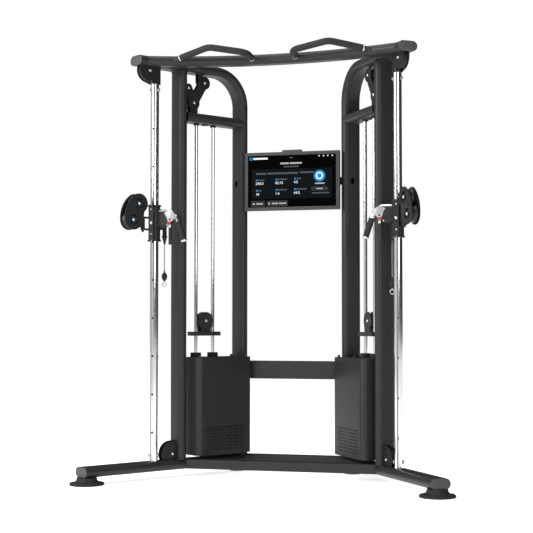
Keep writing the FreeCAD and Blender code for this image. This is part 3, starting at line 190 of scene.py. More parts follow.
def bevelled(obj, width, segments=2, angle=40):
    edge = obj.modifiers.new("edge", "BEVEL")
    edge.width = width
    edge.segments = segments
    edge.limit_method = "ANGLE"
    edge.angle_limit = math.radians(angle)
    applyAll(obj)
    smooth(obj)
    return obj


def block(name, size, centre):
    fresh()
    bpy.ops.mesh.primitive_cube_add(size=1, location=centre, scale=size)
    bpy.context.object.name = name
    applyPlace(bpy.context.object)
    return bpy.context.object


def widen(obj, half):  # a round piece about Z becomes a flat oval, long along X
    pick(obj)
    bpy.ops.object.mode_set(mode="EDIT")
    bpy.ops.mesh.select_mode(type="VERT")
    bpy.ops.mesh.select_all(action="DESELECT")
    for way in (1, -1):
        bpy.ops.object.mode_set(mode="OBJECT")
        for vertex in obj.data.vertices:
            vertex.select = vertex.co.x * way > 1e-5
        bpy.ops.object.mode_set(mode="EDIT")
        bpy.ops.transform.translate(value=(half * way, 0, 0))
        bpy.ops.mesh.select_all(action="DESELECT")
    bpy.ops.object.mode_set(mode="OBJECT")
    return obj


def flatOval(name, wide, thick, depth, ends, lift=0):  # the frame tubes' section, depth long
    fresh()
    bpy.ops.mesh.primitive_cylinder_add(vertices=48, radius=thick / 2, depth=depth, end_fill_type=ends,
                                        location=(0, 0, lift))
    oval = bpy.context.object
    oval.name = name
    applyPlace(oval)
    return widen(oval, (wide - thick) / 2)


def walled(obj, wall):  # an open shape gets a wall on its outer side
    shell = obj.modifiers.new("shell", "SOLIDIFY")
    shell.thickness = wall
    shell.offset = 1
    applyAll(obj)
    return obj


# finishes
def newMaterial(name):
    material = bpy.data.materials.new(name)
    material.use_nodes = True
    tree = material.node_tree
    return material, tree, tree.nodes["Principled BSDF"]


def noiseOn(tree, vector, scale, detail=2):
    noise = tree.nodes.new("ShaderNodeTexNoise")
    noise.inputs["Scale"].default_value = scale
    noise.inputs["Detail"].default_value = detail
    tree.links.new(vector, noise.inputs["Vector"])
    return noise.outputs["Fac"]


def between(tree, factor, first, second):  # a colour between two
    mix = tree.nodes.new("ShaderNodeMix")
    mix.data_type = "RGBA"
    mix.inputs["A"].default_value = (*first, 1)
    mix.inputs["B"].default_value = (*second, 1)
    tree.links.new(factor, mix.inputs["Factor"])
    return mix.outputs["Result"]


surfaceSizes = dict(cloudScale=6, speckleDetail=4, grainDetail=3, grainDeep=.0004)


def surface(name, look):  # speckle moves the colour, clouds the gloss, grain the bump
    material, tree, shader = newMaterial(name)
    add, link = tree.nodes.new, tree.links.new
    coords = add("ShaderNodeTexCoord")
    mapping = add("ShaderNodeMapping")
    mapping.inputs["Scale"].default_value = look.get("stretch", (1, 1, 1))
    link(coords.outputs["Object"], mapping.inputs["Vector"])
    place = mapping.outputs["Vector"]
    speckle = noiseOn(tree, place, look["speckleScale"], surfaceSizes["speckleDetail"])
    link(between(tree, speckle, look["dark"], look["light"]), shader.inputs["Base Color"])
    wear = add("ShaderNodeMapRange")
    wear.inputs["To Min"].default_value, wear.inputs["To Max"].default_value = look["rough"]
    link(noiseOn(tree, place, surfaceSizes["cloudScale"]), wear.inputs["Value"])
    link(wear.outputs["Result"], shader.inputs["Roughness"])
    bump = add("ShaderNodeBump")
    bump.inputs["Strength"].default_value = look["grain"]
    bump.inputs["Distance"].default_value = surfaceSizes["grainDeep"]
    link(noiseOn(tree, place, look["grainScale"], surfaceSizes["grainDetail"]), bump.inputs["Height"])
    link(bump.outputs["Normal"], shader.inputs["Normal"])
    shader.inputs["Metallic"].default_value = look.get("metal", 0)
    shader.inputs["Specular IOR Level"].default_value = look.get("specular", .5)
    return material


looks = dict(
    frame_black=dict(dark=(.0165, .0165, .0170), light=(.0225, .0225, .0230), speckleScale=260,
                     rough=(.36, .48), grainScale=900, grain=.22, specular=.26),
    plate_black=dict(dark=(.012, .012, .0125), light=(.018, .018, .0185), speckleScale=300,
                     rough=(.34, .46), grainScale=1000, grain=.18, specular=.26),
    chrome=dict(dark=(.74, .75, .76), light=(.82, .83, .84), speckleScale=40, rough=(.08, .13),
                grainScale=300, grain=.003, metal=1, stretch=(1, 1, .05)),
    steel_bright=dict(dark=(.50, .51, .52), light=(.66, .67, .68), speckleScale=300, rough=(.20, .34),
                      grainScale=700, grain=.06, metal=1),
    pulley_black=dict(dark=(.013, .013, .0135), light=(.020, .020, .0205), speckleScale=180,
                      rough=(.30, .42), grainScale=600, grain=.08, specular=.30),
    rubber_black=dict(dark=(.010, .010, .010), light=(.017, .017, .017), speckleScale=500,
                      rough=(.58, .74), grainScale=1400, grain=.35, specular=.30),
    plastic_black=dict(dark=(.045, .045, .047), light=(.060, .060, .062), speckleScale=400,
                       rough=(.45, .58), grainScale=1200, grain=.25, specular=.45),
    cable_grey=dict(dark=(.16, .165, .17), light=(.30, .305, .31), speckleScale=500, rough=(.30, .42),
                    grainScale=900, grain=.30, metal=.35, stretch=(1, 1, .35)),
    screen_glass=dict(dark=(.0004, .0004, .0005), light=(.0008, .0008, .0010), speckleScale=60,
                      rough=(.16, .24), grainScale=500, grain=.004, specular=.02),
    screen_case=dict(dark=(.026, .026, .028), light=(.034, .034, .036), speckleScale=420,
                     rough=(.42, .55), grainScale=1300, grain=.20, specular=.45),
    cast_grey=dict(dark=(.30, .30, .305), light=(.42, .42, .425), speckleScale=240, rough=(.34, .48),
                   grainScale=700, grain=.12, metal=.6),
    latch_red=dict(dark=(.30, .003, .006), light=(.38, .006, .010), speckleScale=300, rough=(.35, .45),
                   grainScale=800, grain=.10),
    seal_blue=dict(dark=(.004, .050, .10), light=(.008, .075, .14), speckleScale=300, rough=(.35, .45),
                   grainScale=800, grain=.08),
    # dark_hole: painted shade for the columns' lock holes, and the camera lens's own dark colour
    dark_hole=dict(dark=(.006, .006, .006), light=(.012, .012, .012), speckleScale=300, rough=(.6, .7),
                   grainScale=800, grain=.1),
)
finish = {name: surface(name, look) for name, look in looks.items()}


for part in record["subparts"]:
    node = nodes[part["node"]]
    for slot in node.material_slots:
        slot.material = finish[part["material_slot"]]
print("finishes ready:", len(finish))


def fit(obj, body, finishName, node=None):  # finish, slot and body of a new piece
    obj.data.materials.clear()
    obj.data.materials.append(finish[finishName])
    if node:
        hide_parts(node)
    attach(obj, body)


def bothSides(obj, body, finishName):  # a right-hand piece and its mirror
    twin = mirrored(obj, "left" + obj.name)
    obj.name = "right" + obj.name
    for side, piece in (("right_", obj), ("left_", twin)):
        fit(piece, body if body == "frame" else side + body, finishName)


# bolts
boltSizes = dict(radius=.0085, tall=.0058, socket=.30, plateOutside=.016, headOutside=.023,
                 columnOutside=.0215, crossBoltZ=(.116, 1.962))


def boltHead(name, scale=1.0):  # domed, with a round socket
    r, t = boltSizes["radius"] * scale, boltSizes["tall"] * scale
    socket = boltSizes["socket"] * r
    profile = [(0, 0), (r, 0), (r, .25 * t), (.93 * r, .5 * t), (.72 * r, .82 * t), (.42 * r, t),
               (socket, t), (socket, .6 * t), (0, .6 * t)]
    return lathe(name, profile, 20)


def acrossHub(hub, outside):  # both ends of a pulley's axle
    return [(hub + inward * way * outside, inward * way) for way in (1, -1)]


frameHubs = ("top_pulley", "base_pulley", "idler_pulley_front", "idler_pulley_rear", "idler_pulley_low")
places = []
for hub in frameHubs:
    places += acrossHub(Vector(joints["right_%s_spin" % hub]["pos_m"]), boltSizes["plateOutside"])
crossBoltPlaces = [(z, way) for z in boltSizes["crossBoltZ"] for way in (1, -1)]
for z, way in crossBoltPlaces:
    places.append((column + Vector((boltSizes["columnOutside"] * way, 0, z)), Vector((way, 0, 0))))
frameBolts = copiesAt(boltHead("frameBolt"), places, "FrameBolts")
twin = mirrored(frameBolts, "leftFrameBolts")
fit(joined([frameBolts, twin], "frameBolts"), "frame", "steel_bright", node="bolts")

headHubs = [Vector(joints["right_swivel_pulley_%s_spin" % name]["pos_m"]) for name in ("upper", "lower")]
places = [place for hub in headHubs for place in acrossHub(hub, boltSizes["headOutside"])]
bothSides(copiesAt(boltHead("headBolt", .95), places, "HeadBolts"), "swivel_head", "steel_bright")
blockHub = Vector(joints["right_travelling_pulley_spin"]["pos_m"])
places = acrossHub(blockHub, boltSizes["plateOutside"])
bothSides(copiesAt(boltHead("blockBolt"), places, "BlockBolts"), "travelling_block", "steel_bright")
print("bolts placed")


# feet
footSizes = dict(frontS=-.541, frontRadius=.084, neckRadius=.048, rearS=.385, rearRadius=.042, tall=.037,
                 rimTall=.0075, screwRing=.069, screwZ=.0128, screwTurns=(20, 110, 200, 290))
r, neck, tall, rim = (footSizes[key] for key in ("frontRadius", "neckRadius", "tall", "rimTall"))
frontFoot = lathe("frontFoot", [(0, 0), (r - .001, 0), (r, .001), (r, rim), (r - .003, rim + .004),
                                (.060, .0150), (neck + .005, .0205), (neck + .001, .0300), (neck, tall),
                                (0, tall)], 72)
aim(frontFoot, towerPoint(footSizes["frontS"], 0, 0), up)
r = footSizes["rearRadius"]
rearFoot = lathe("rearFoot", [(0, 0), (r - .001, 0), (r, .001), (r, tall - .007), (r - .0015, tall - .0005),
                              (r - .003, tall), (0, tall)], 56)
aim(rearFoot, towerPoint(footSizes["rearS"], 0, 0), up)
feet = joined([frontFoot, rearFoot], "feetRight")
feetTwin = mirrored(feet, "feetLeft")
fit(joined([feet, feetTwin], "rubberFeet"), "frame", "rubber_black", node="feet")
places = []
for turn in footSizes["screwTurns"]:
    spoke = Vector((math.cos(math.radians(turn)), math.sin(math.radians(turn)), 0))
    middle = towerPoint(footSizes["frontS"], 0, footSizes["screwZ"])
    places.append((middle + spoke * footSizes["screwRing"], up))
bothSides(copiesAt(boltHead("footScrew", .62), places, "FootScrews"), "frame", "plate_black")
print("feet done")


# end caps, flat ovals with a rounded rim
capSizes = dict(deep=.005, rim=.0022, armS=-.265, toeS=-.570, heelS=.435)
caps = []
for s, z, way in ((capSizes["armS"], towerSizes["armZ"], ahead),
                  (capSizes["toeS"], towerSizes["baseZ"], ahead),
                  (capSizes["heelS"], towerSizes["baseZ"], back)):
    cap = flatOval("cap%d" % len(caps), towerSizes["wide"], towerSizes["thick"], capSizes["deep"], "NGON",
                   capSizes["deep"] / 2)
    caps.append(aim(bevelled(cap, capSizes["rim"], 3), towerPoint(s, 0, z), way, inward))
capRight = joined(caps, "capsRight")
capLeft = mirrored(capRight, "capsLeft")
fit(joined([capRight, capLeft], "tubeCaps"), "frame", "plastic_black", node="end_caps")


# weld beads where tubes meet
weldSizes = dict(bead=.0026, sink=.001, ripple=.006, crossS=.0262)


def weldRing(name):
    fresh()
    bead = weldSizes["bead"]
    bpy.ops.mesh.primitive_torus_add(major_segments=64, minor_segments=8, minor_radius=bead,
                                     major_radius=towerSizes["thick"] / 2 + bead * .2)
    ring = bpy.context.object
    ring.name = name
    widen(ring, (towerSizes["wide"] - towerSizes["thick"]) / 2)
    ripple = bpy.data.textures.new(name + "Ripple", "CLOUDS")
    ripple.noise_scale = weldSizes["ripple"]
    push = ring.modifiers.new("push", "DISPLACE")
    push.texture = ripple
    push.strength = bead * .5
    push.texture_coords = "LOCAL"
    applyAll(ring)
    smooth(ring, 60)
    return ring


welds = []
for s, z, way in ((0, baseTop + weldSizes["sink"], up), (0, armBottom - weldSizes["sink"], up),
                  (towerSizes["postGap"], baseTop + weldSizes["sink"], up),
                  (weldSizes["crossS"], towerSizes["crossZ"], back)):
    welds.append(aim(weldRing("weld%d" % len(welds)), towerPoint(s, 0, z), way, inward))
bothSides(joined(welds, "WeldBeads"), "frame", "frame_black")


# collar and small screws on the arm
collarSizes = dict(s=-.134, clear=.0005, deep=.005, wall=.0018, screws=((-.118, .006), (-.100, -.004)),
                   screwOut=.0495)
collar = flatOval("ArmCollar", towerSizes["wide"] + collarSizes["clear"],
                  towerSizes["thick"] + collarSizes["clear"], collarSizes["deep"], "NOTHING")
bevelled(walled(collar, collarSizes["wall"]), collarSizes["wall"] * .3, 2)
aim(collar, towerPoint(collarSizes["s"], 0, towerSizes["armZ"]), ahead, inward)
bothSides(collar, "frame", "plate_black")
places = [(towerPoint(s, collarSizes["screwOut"], towerSizes["armZ"] + lift), inward)
          for s, lift in collarSizes["screws"]]
bothSides(copiesAt(boltHead("armScrew", .62), places, "ArmScrews"), "frame", "plate_black")
print("tube ends, welds and collars done")


# pull-up grips: a bright ring at each end of the sleeves
gripSizes = dict(inX=.112, peakX=.304, outX=.500, ahead=.230, rise=.044, barBack=-.063, barRadius=1.893,
                 barWide=.084, sunk=.008, startTrim=.024, endTrim=.0408)


def barFront(x):  # how far forward the bowed bar's front face comes, less what the grip sinks into it
    radius = gripSizes["barRadius"]
    middle = postFoot.y + gripSizes["barBack"] - (radius - math.sqrt(radius ** 2 - x ** 2))
    return middle - gripSizes["barWide"] / 2 + gripSizes["sunk"]


armZ = towerSizes["armZ"]
gripAhead = postFoot.y - gripSizes["ahead"]
gripBend = Vector((gripSizes["inX"] + .003, gripAhead + .026, armZ + .012))
gripPeak = Vector((gripSizes["peakX"], gripAhead, armZ + gripSizes["rise"]))
gripStart = Vector((gripSizes["inX"], barFront(gripSizes["inX"]), armZ))
gripEnd = Vector((gripSizes["outX"], barFront(gripSizes["outX"]), armZ + .002))
startWay = (gripBend - gripStart).normalized()
endWay = (gripPeak - gripEnd).normalized()
ringSizes = dict(inner=.0132, outer=.0180, half=.003, edge=.0015, back=.0045)


def roundBand(inner, outer, half, edgeIn, edgeUp):  # a band about Z with its outer corners taken off
    return [(inner, -half), (outer - edgeIn, -half), (outer, -half + edgeUp), (outer, half - edgeUp),
            (outer - edgeIn, half), (inner, half), (inner, -half)]


gripRing = lathe("gripRing", roundBand(ringSizes["inner"], ringSizes["outer"], ringSizes["half"], .0008,
                                       ringSizes["edge"]), 36)
places = [(gripStart + startWay * (gripSizes["startTrim"] - ringSizes["back"]), startWay),
          (gripEnd + endWay * (gripSizes["endTrim"] - ringSizes["back"]), endWay)]
bothSides(copiesAt(gripRing, places, "GripRings"), "frame", "steel_bright")


# guide rod nuts and the cable bush under the upper cross tube
rodSizes = dict(rodS=(.109, .218), nutInner=.0092, nutRadius=.0150, nutTall=.010, bushS=.1635,
                bushRadius=.0190)
crossBottom = towerSizes["crossZ"] - towerSizes["thick"] / 2
down = -up
inner, r, tall = (rodSizes[key] for key in ("nutInner", "nutRadius", "nutTall"))
nut = lathe("rodNut", [(inner, 0), (r, 0), (r, tall - .002), (r - .0015, tall), (inner, tall),
                       (inner, 0)], 36)
places = [(towerPoint(s, 0, crossBottom), down) for s in rodSizes["rodS"]]
bothSides(copiesAt(nut, places, "RodNuts"), "frame", "plate_black")
r = rodSizes["bushRadius"]
bush = lathe("cableBush", [(0, 0), (r, 0), (r, .0030), (r - .0025, .0050), (.0060, .0058), (.0050, .0040),
                           (0, .0040)], 40)
places = [(towerPoint(rodSizes["bushS"], 0, crossBottom), down)]
bothSides(copiesAt(bush, places, "CableBush"), "frame", "rubber_black")


# dark discs down the front of each guide column, cut to the column's round face: painted shade where the lock
# holes are
holeShadeSizes = dict(firstZ=.230, pitch=.1915, count=9, radius=.0058, deep=.003, ahead=.0202, columnRadius=.021,
                 proud=.00012)


def standing(name, vertices, radius, depth, place, turn=0):  # a plain cylinder, upright unless turned about X
    fresh()
    bpy.ops.mesh.primitive_cylinder_add(vertices=vertices, radius=radius, depth=depth, location=place,
                                        rotation=(turn, 0, 0))
    bpy.context.object.name = name
    applyPlace(bpy.context.object)
    return bpy.context.object


holeShades = []
for number in range(holeShadeSizes["count"]):
    z = holeShadeSizes["firstZ"] + number * holeShadeSizes["pitch"]
    holeShade = standing("mark%d" % number, 28, holeShadeSizes["radius"], holeShadeSizes["deep"],
                    (column.x, column.y - holeShadeSizes["ahead"], z), math.pi / 2)
    shaper = standing("shaper", 160, holeShadeSizes["columnRadius"] + holeShadeSizes["proud"], .05,
                      (column.x, column.y, z))
    trim = holeShade.modifiers.new("trim", "BOOLEAN")
    trim.operation = "INTERSECT"
    trim.object = shaper
    applyAll(holeShade)
    bpy.data.objects.remove(shaper)
    holeShades.append(holeShade)
# painted shade: the dark discs stand in for the shade inside the lock holes
bothSides(joined(holeShades, "LockHoleShade"), "frame", "dark_hole")
print("grips, rods and lock marks done")


# housing knobs and screws
housingSizes = dict(top=.603, knobs=((.335, .010), (.372, .082), (.075, .082)), knobRadius=.0080,
                    knobTall=.0125, side=.0955,
                    screws=((.105, .152), (.375, .125), (.375, .585), (.100, .585)))
r, tall = housingSizes["knobRadius"], housingSizes["knobTall"]
knob = lathe("knob", [(0, 0), (r, 0), (r, .004), (r - .002, .006), (r - .002, tall - .0015),
                      (r - .0035, tall), (0, tall)], 28)
places = [(towerPoint(s, u, housingSizes["top"]), up) for s, u in housingSizes["knobs"]]
bothSides(copiesAt(knob, places, "HousingKnobs"), "frame", "plate_black")
places = [(towerPoint(s, housingSizes["side"], z), inward) for s, z in housingSizes["screws"]]
bothSides(copiesAt(boltHead("coverScrew", .45), places, "CoverScrews"), "frame", "plate_black")

# washers under the columns' cross bolts
washerSizes = dict(inner=.0045, outer=.0115, thick=.0012, columnOutside=.0213)
inner, outer, thick = (washerSizes[key] for key in ("inner", "outer", "thick"))
washer = lathe("washer", [(inner, 0), (outer, 0), (outer, thick), (inner, thick), (inner, 0)], 28)
places = [(column + Vector((way * washerSizes["columnOutside"], 0, z)), Vector((way, 0, 0)))
          for z, way in crossBoltPlaces]
bothSides(copiesAt(washer, places, "ColumnWashers"), "frame", "steel_bright")
print("housing and column fittings done")


# carriage
carriageSizes = dict(channelFront=.050, pinRadius=.0075, pinZ=1.283, screwZ=(1.350, 1.228))
front = Vector((0, -1, 0))
channelFace = column + front * carriageSizes["channelFront"]
r = carriageSizes["pinRadius"]
pinHead = lathe("pinHead", [(0, 0), (r, 0), (r, .0022), (.8 * r, .0042), (.4 * r, .0052), (0, .0054)], 32)
pinHead = copiesAt(pinHead, [(channelFace + up * carriageSizes["pinZ"], front)], "CarriagePin")
bothSides(pinHead, "carriage", "steel_bright")
places = [(channelFace + up * z, front) for z in carriageSizes["screwZ"]]
bothSides(copiesAt(boltHead("channelScrew", .5), places, "ChannelScrews"), "carriage", "steel_bright")

handleSizes = dict(bend=(-.120, 0, 1.306), end=(-.159, 0, 1.192), gripShare=.952, ringRadius=.0158,
                   ringTall=.0092)
handleBend, handleEnd = column + Vector(handleSizes["bend"]), column + Vector(handleSizes["end"])
gripEndPoint = handleBend.lerp(handleEnd, handleSizes["gripShare"])
r, tall = handleSizes["ringRadius"], handleSizes["ringTall"]
endRing = lathe("endRing", [(0, 0), (r - .0008, 0), (r, .001), (r, .0065), (r - .0013, .0085), (0, tall)], 36)
places = [(gripEndPoint, (handleEnd - handleBend).normalized())]
bothSides(copiesAt(endRing, places, "GripEnds"), "carriage", "steel_bright")


def plateFrom(name, outline, thick):  # a flat plate in X and Z from its corners, thick along Y
    plate = onePoint(name)
    drawOutline(outline)
    bpy.ops.mesh.edge_face_add()
    bpy.ops.mesh.extrude_region_move(TRANSFORM_OT_translate={"value": (0, thick, 0)})
    bpy.ops.object.mode_set(mode="OBJECT")
    cleanUp(plate)
    return plate


gussetSizes = dict(thick=.004, ahead=.0165, rim=.0010, pivot=(-.088, -.0165, 1.300))
gussetOutline = [(-.058, 1.334), (-.084, 1.345), (-.104, 1.338), (-.117, 1.322), (-.121, 1.306),
                 (-.106, 1.300), (-.096, 1.288), (-.082, 1.285), (-.074, 1.296), (-.068, 1.316)]
gusset = plateFrom("Gusset", [(column.x + x, z) for x, z in gussetOutline], gussetSizes["thick"])
gusset.location.y = column.y - gussetSizes["ahead"]
applyPlace(gusset)
bothSides(bevelled(gusset, gussetSizes["rim"], 2), "carriage", "cast_grey")
pivot = copiesAt(boltHead("pivot", .55), [(column + Vector(gussetSizes["pivot"]), front)], "LeverPivot")
bothSides(pivot, "carriage", "plate_black")

latchSizes = dict(size=(.019, .010, .010), place=(-.084, -.0150, 1.284), lip=.005, lipShare=.35, rim=.0014,
                  clip=(.011, .006, .040), clipPlace=(-.087, -.0125, 1.280), clipRim=.0018)
latch = block("Latch", latchSizes["size"], column + Vector(latchSizes["place"]))
bpy.ops.object.mode_set(mode="EDIT")
bpy.ops.mesh.select_all(action="DESELECT")
bpy.ops.object.mode_set(mode="OBJECT")
for face in latch.data.polygons:
    face.select = face.normal.z < -.9
bpy.ops.object.mode_set(mode="EDIT")
bpy.ops.mesh.select_mode(type="FACE")
bpy.ops.mesh.extrude_region_move(TRANSFORM_OT_translate={"value": (0, 0, -latchSizes["lip"])})
bpy.ops.transform.resize(value=(latchSizes["lipShare"], 1, 1))
bpy.ops.object.mode_set(mode="OBJECT")
bothSides(bevelled(latch, latchSizes["rim"], 2), "carriage", "latch_red")
clip = block("LatchClip", latchSizes["clip"], column + Vector(latchSizes["clipPlace"]))
bothSides(bevelled(clip, latchSizes["clipRim"], 2), "carriage", "steel_bright")
print("carriage fittings done")


# blue seals in the head's pulleys
sealSizes = dict(inner=.0125, outer=.0190, half=.0142)
sealProfile = roundBand(sealSizes["inner"], sealSizes["outer"], sealSizes["half"], .0005, .0006)
for place, hub in zip(("upper", "lower"), headHubs):
    seal = copiesAt(lathe("seal", sealProfile, 32), [(hub, inward)], "PulleySeal" + place)
    bothSides(seal, "swivel_pulley_" + place, "seal_blue")


# cable ends: the cable's five points hang from the spout with a slight sway
tailSizes = dict(exitBehind=.063, exitBottom=1.216, diameter=.005, right=.226, left=.182,
                 sway=(0, .0007, -.0006, .0005, 0))
stopSizes = dict(tall=.042, profile=((0, -.042), (.0050, -.042), (.0066, -.0395), (.0105, -.0330),
                                     (.0140, -.0235), (.0145, -.0170), (.0132, -.0105), (.0128, -.0100),
                                     (.0128, -.0092), (.0112, -.0052), (.0060, -.0010), (.0042, .0040),
                                     (.0034, .0110), (.0026, .0120), (0, .0120)))
hookSizes = dict(ringRadius=.0105, wire=.0023, drop=.0170, stud=.0044, gate=.0034)
tail = column - ahead * tailSizes["exitBehind"]


def snapHook(side, flip, top):  # a stud, a ring under it and the gate on the ring's outer side
    r = hookSizes["stud"]
    stud = lathe(side + "HookStud", [(0, .001), (r - .0004, .001), (r, -.001), (r, -.0050),
                                     (r - .0008, -.0062), (0, -.0062)], 28)
    aim(stud, top, up)
    middle = top - up * hookSizes["drop"]
    fresh()
    bpy.ops.mesh.primitive_torus_add(major_segments=48, minor_segments=14, location=middle,
                                     major_radius=hookSizes["ringRadius"], minor_radius=hookSizes["wire"],
                                     rotation=(math.pi / 2, 0, 0))
    ring = bpy.context.object
    applyPlace(ring)
    smooth(ring)
    r = hookSizes["gate"]
    gate = lathe(side + "Gate", [(0, -.0055), (r - .0004, -.0055), (r, -.0045), (r, .0045),
                                 (r - .0004, .0055), (0, .0055)], 24)
    aim(gate, middle + Vector((hookSizes["ringRadius"] * flip, 0, 0)), up)
    return joined([stud, ring, gate], side + "SnapHook")


def cableEnd(side, flip):
    length, top = tailSizes[side], tailSizes["exitBottom"]
    sway = tailSizes["sway"]
    step = length / (len(sway) - 1)
    points = [Vector(((tail.x + shift) * flip, tail.y, top - step * number))
              for number, shift in enumerate(sway)]
    curve = bpy.data.curves.new(side + "CableEnd", "CURVE")
    curve.dimensions = "3D"
    curve.bevel_depth = tailSizes["diameter"] / 2
    curve.bevel_resolution = 4
    curve.resolution_u = 8
    curve.use_fill_caps = True
    spline = curve.splines.new("NURBS")
    spline.points.add(len(points) - 1)
    for point, place in zip(spline.points, points):
        point.co = (*place, 1)
    spline.order_u = 3
    spline.use_endpoint_u = True
    cable = bpy.data.objects.new(side + "CableEnd", curve)
    bpy.context.scene.collection.objects.link(cable)
    curve.materials.append(finish["cable_grey"])
    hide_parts(side + "_cable_tail")
    body = side + "_carriage"
    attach(cable, body)
    low = Vector((tail.x * flip, tail.y, top - length))
    ball = lathe(side + "BallStop", stopSizes["profile"], 36)
    aim(ball, low, up)
    fit(ball, body, "rubber_black", node=side + "_ball_stop")
    hook = snapHook(side, flip, low - up * stopSizes["tall"])
    fit(hook, body, "steel_bright", node=side + "_snap_hook")


cableEnd("right", 1)
cableEnd("left", -1)
boot = lathe("boot", [(.0030, .0010), (.0120, .0010), (.0118, -.0060), (.0080, -.0200), (.0052, -.0290),
                      (.0050, -.0310), (.0062, -.0320), (.0062, -.0345), (.0045, -.0360), (.0030, -.0360),
                      (.0030, .0010)], 32)
boot = copiesAt(boot, [(Vector((tail.x, tail.y, tailSizes["exitBottom"])), up)], "CableBoot")
bothSides(boot, "carriage", "rubber_black")
print("cable ends done")


# the screen's picture: plain shapes and numbers on the glass
glassLow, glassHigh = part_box("screen_glass")
glassWide, glassTall = glassHigh.x - glassLow.x, glassHigh.z - glassLow.z
glassFront = glassLow.y


def glowing(name, colour):
    material, tree, shader = newMaterial(name)
    shader.inputs["Base Color"].default_value = (*[c * .1 for c in colour], 1)
    shader.inputs["Roughness"].default_value = .35
    shader.inputs["Specular IOR Level"].default_value = .02
    coords = tree.nodes.new("ShaderNodeTexCoord")
    dots = noiseOn(tree, coords.outputs["Object"], 900)
    tree.links.new(between(tree, dots, [c * .94 for c in colour], colour), shader.inputs["Emission Color"])
    shader.inputs["Emission Strength"].default_value = 1
    finish[name] = material


glowing("picture_white", (.86, .88, .90))
glowing("picture_text", (.42, .43, .44))
glowing("picture_grey", (.085, .090, .095))
glowing("picture_dim", (.034, .036, .039))
glowing("picture_card", (.0040, .0062, .0078))
glowing("picture_blue", (.012, .27, .62))

# a plain border lies on the edge of the glass, so the picture is a little smaller than the glass
lipSizes = dict(wide=.0085, thick=.0005, lift=.0001, rim=.00015)
fresh()
bpy.ops.mesh.primitive_plane_add(size=1)
lip = bpy.context.object
lip.name = "screenLip"
lip.scale = (glassWide, glassTall, 1)
applyPlace(lip)
lip.rotation_euler = (math.pi / 2, 0, 0)
lip.location = (glassLow + glassHigh) / 2
lip.location.y = glassFront - lipSizes["lift"]
applyPlace(lip)
bpy.ops.object.mode_set(mode="EDIT")
bpy.ops.mesh.select_all(action="SELECT")
bpy.ops.mesh.inset(thickness=lipSizes["wide"])
bpy.ops.mesh.delete(type="FACE")
bpy.ops.object.mode_set(mode="OBJECT")
walled(lip, lipSizes["thick"])
cleanUp(lip)
fit(bevelled(lip, lipSizes["rim"], 2), "screen", "screen_case")
pictureLeft, pictureTop = glassLow.x + lipSizes["wide"], glassHigh.z - lipSizes["wide"]
pictureWide, pictureTall = glassWide - 2 * lipSizes["wide"], glassTall - 2 * lipSizes["wide"]


def onGlass(across, down, lift):  # shares of the picture, from its top left corner
    return Vector((pictureLeft + across * pictureWide, glassFront - lift, pictureTop - down * pictureTall))


layerSizes = dict(thick=.0003, card=.0003, roundel=.0005, lens=.0006, grey=.0006, icon=.0008, text=.0009,
                  white=.0010)


def tile(name, left, top, right, bottom, lift, corner=0):
    low, high = onGlass(left, bottom, lift), onGlass(right, top, lift)
    piece = block(name, (high.x - low.x, layerSizes["thick"], high.z - low.z), (low + high) / 2)
    if not corner:
        return piece
    rounding = piece.modifiers.new("corner", "BEVEL")
    rounding.width = corner
    rounding.segments = 5
    rounding.limit_method = "WEIGHT"
    weights = piece.data.attributes.new("bevel_weight_edge", "FLOAT", "EDGE")
    for edge in piece.data.edges:
        a, b = (piece.data.vertices[i].co for i in edge.vertices)
        weights.data[edge.index].value = 1 if abs(a.y - b.y) > .0001 else 0  # only those through the tile
    applyAll(piece)
    return piece


def tiles(name, edges, lift, corner=0):
    return [tile("%s%d" % (name, number), *edge, lift, corner) for number, edge in enumerate(edges)]


figureSizes = dict(tall=.0190, half=.00015, bold=.006)


def figure(name, text, across, down):
    fresh()
    bpy.ops.object.text_add(location=(0, 0, 0))
    digits = bpy.context.object
    digits.name = name
    digits.data.body = text
    digits.data.size = figureSizes["tall"]
    digits.data.extrude = figureSizes["half"]
    digits.data.offset = figureSizes["tall"] * figureSizes["bold"]
    digits.data.resolution_u = 3
    bpy.ops.object.convert(target="MESH")
    digits = bpy.context.object
    digits.rotation_euler = (math.pi / 2, 0, 0)
    digits.location = onGlass(across, down, layerSizes["white"])
    applyPlace(digits)
    cleanUp(digits)
    return digits


def disc(name, across, down, radius, lift, inner=0):  # with a hole if inner is given
    thick = layerSizes["thick"]
    profile = [(inner, 0), (radius, 0), (radius, thick), (inner, thick)]
    if inner:
        profile.append((inner, 0))
    return aim(lathe(name, profile, 48), onGlass(across, down, lift), front)


card = tile("pictureCard", .044, .264, .956, .838, layerSizes["card"], .004)
fit(card, "screen", "picture_card")
buttonEdges = ((.719, .622, .910, .700), (.034, .872, .197, .986), (.216, .872, .458, .986))
buttons = tiles("button", buttonEdges, layerSizes["grey"], .006)
fit(joined(buttons, "pictureButtons"), "screen", "picture_dim")

labels = ((.116, .460, .190), (.340, .453, .448), (.552, .446, .607), (.116, .662, .155), (.340, .655, .448),
          (.552, .648, .668))  # left, top and right of each label
lineEdges = [(.474, .042, .519, .060), (.408, .212, .580, .236), (.095, .332, .209, .368),
             (.222, .332, .571, .366), (.593, .326, .750, .358), (.729, .732, .923, .756)]
lineEdges += [(left, top, right, top + .026) for left, top, right in labels]
lines = joined(tiles("line", lineEdges, layerSizes["grey"]), "pictureLines")
fit(lines, "screen", "picture_grey")
squareEdges = [(left - .022, top - .003, left - .004, top + .030) for left, top, right in labels]
blues = tiles("square", squareEdges, layerSizes["grey"])
roundel = dict(across=.814, down=.415)
blues.append(disc("roundel", **roundel, radius=.0305, lift=layerSizes["roundel"]))
fit(joined(blues, "pictureBlues"), "screen", "picture_blue")

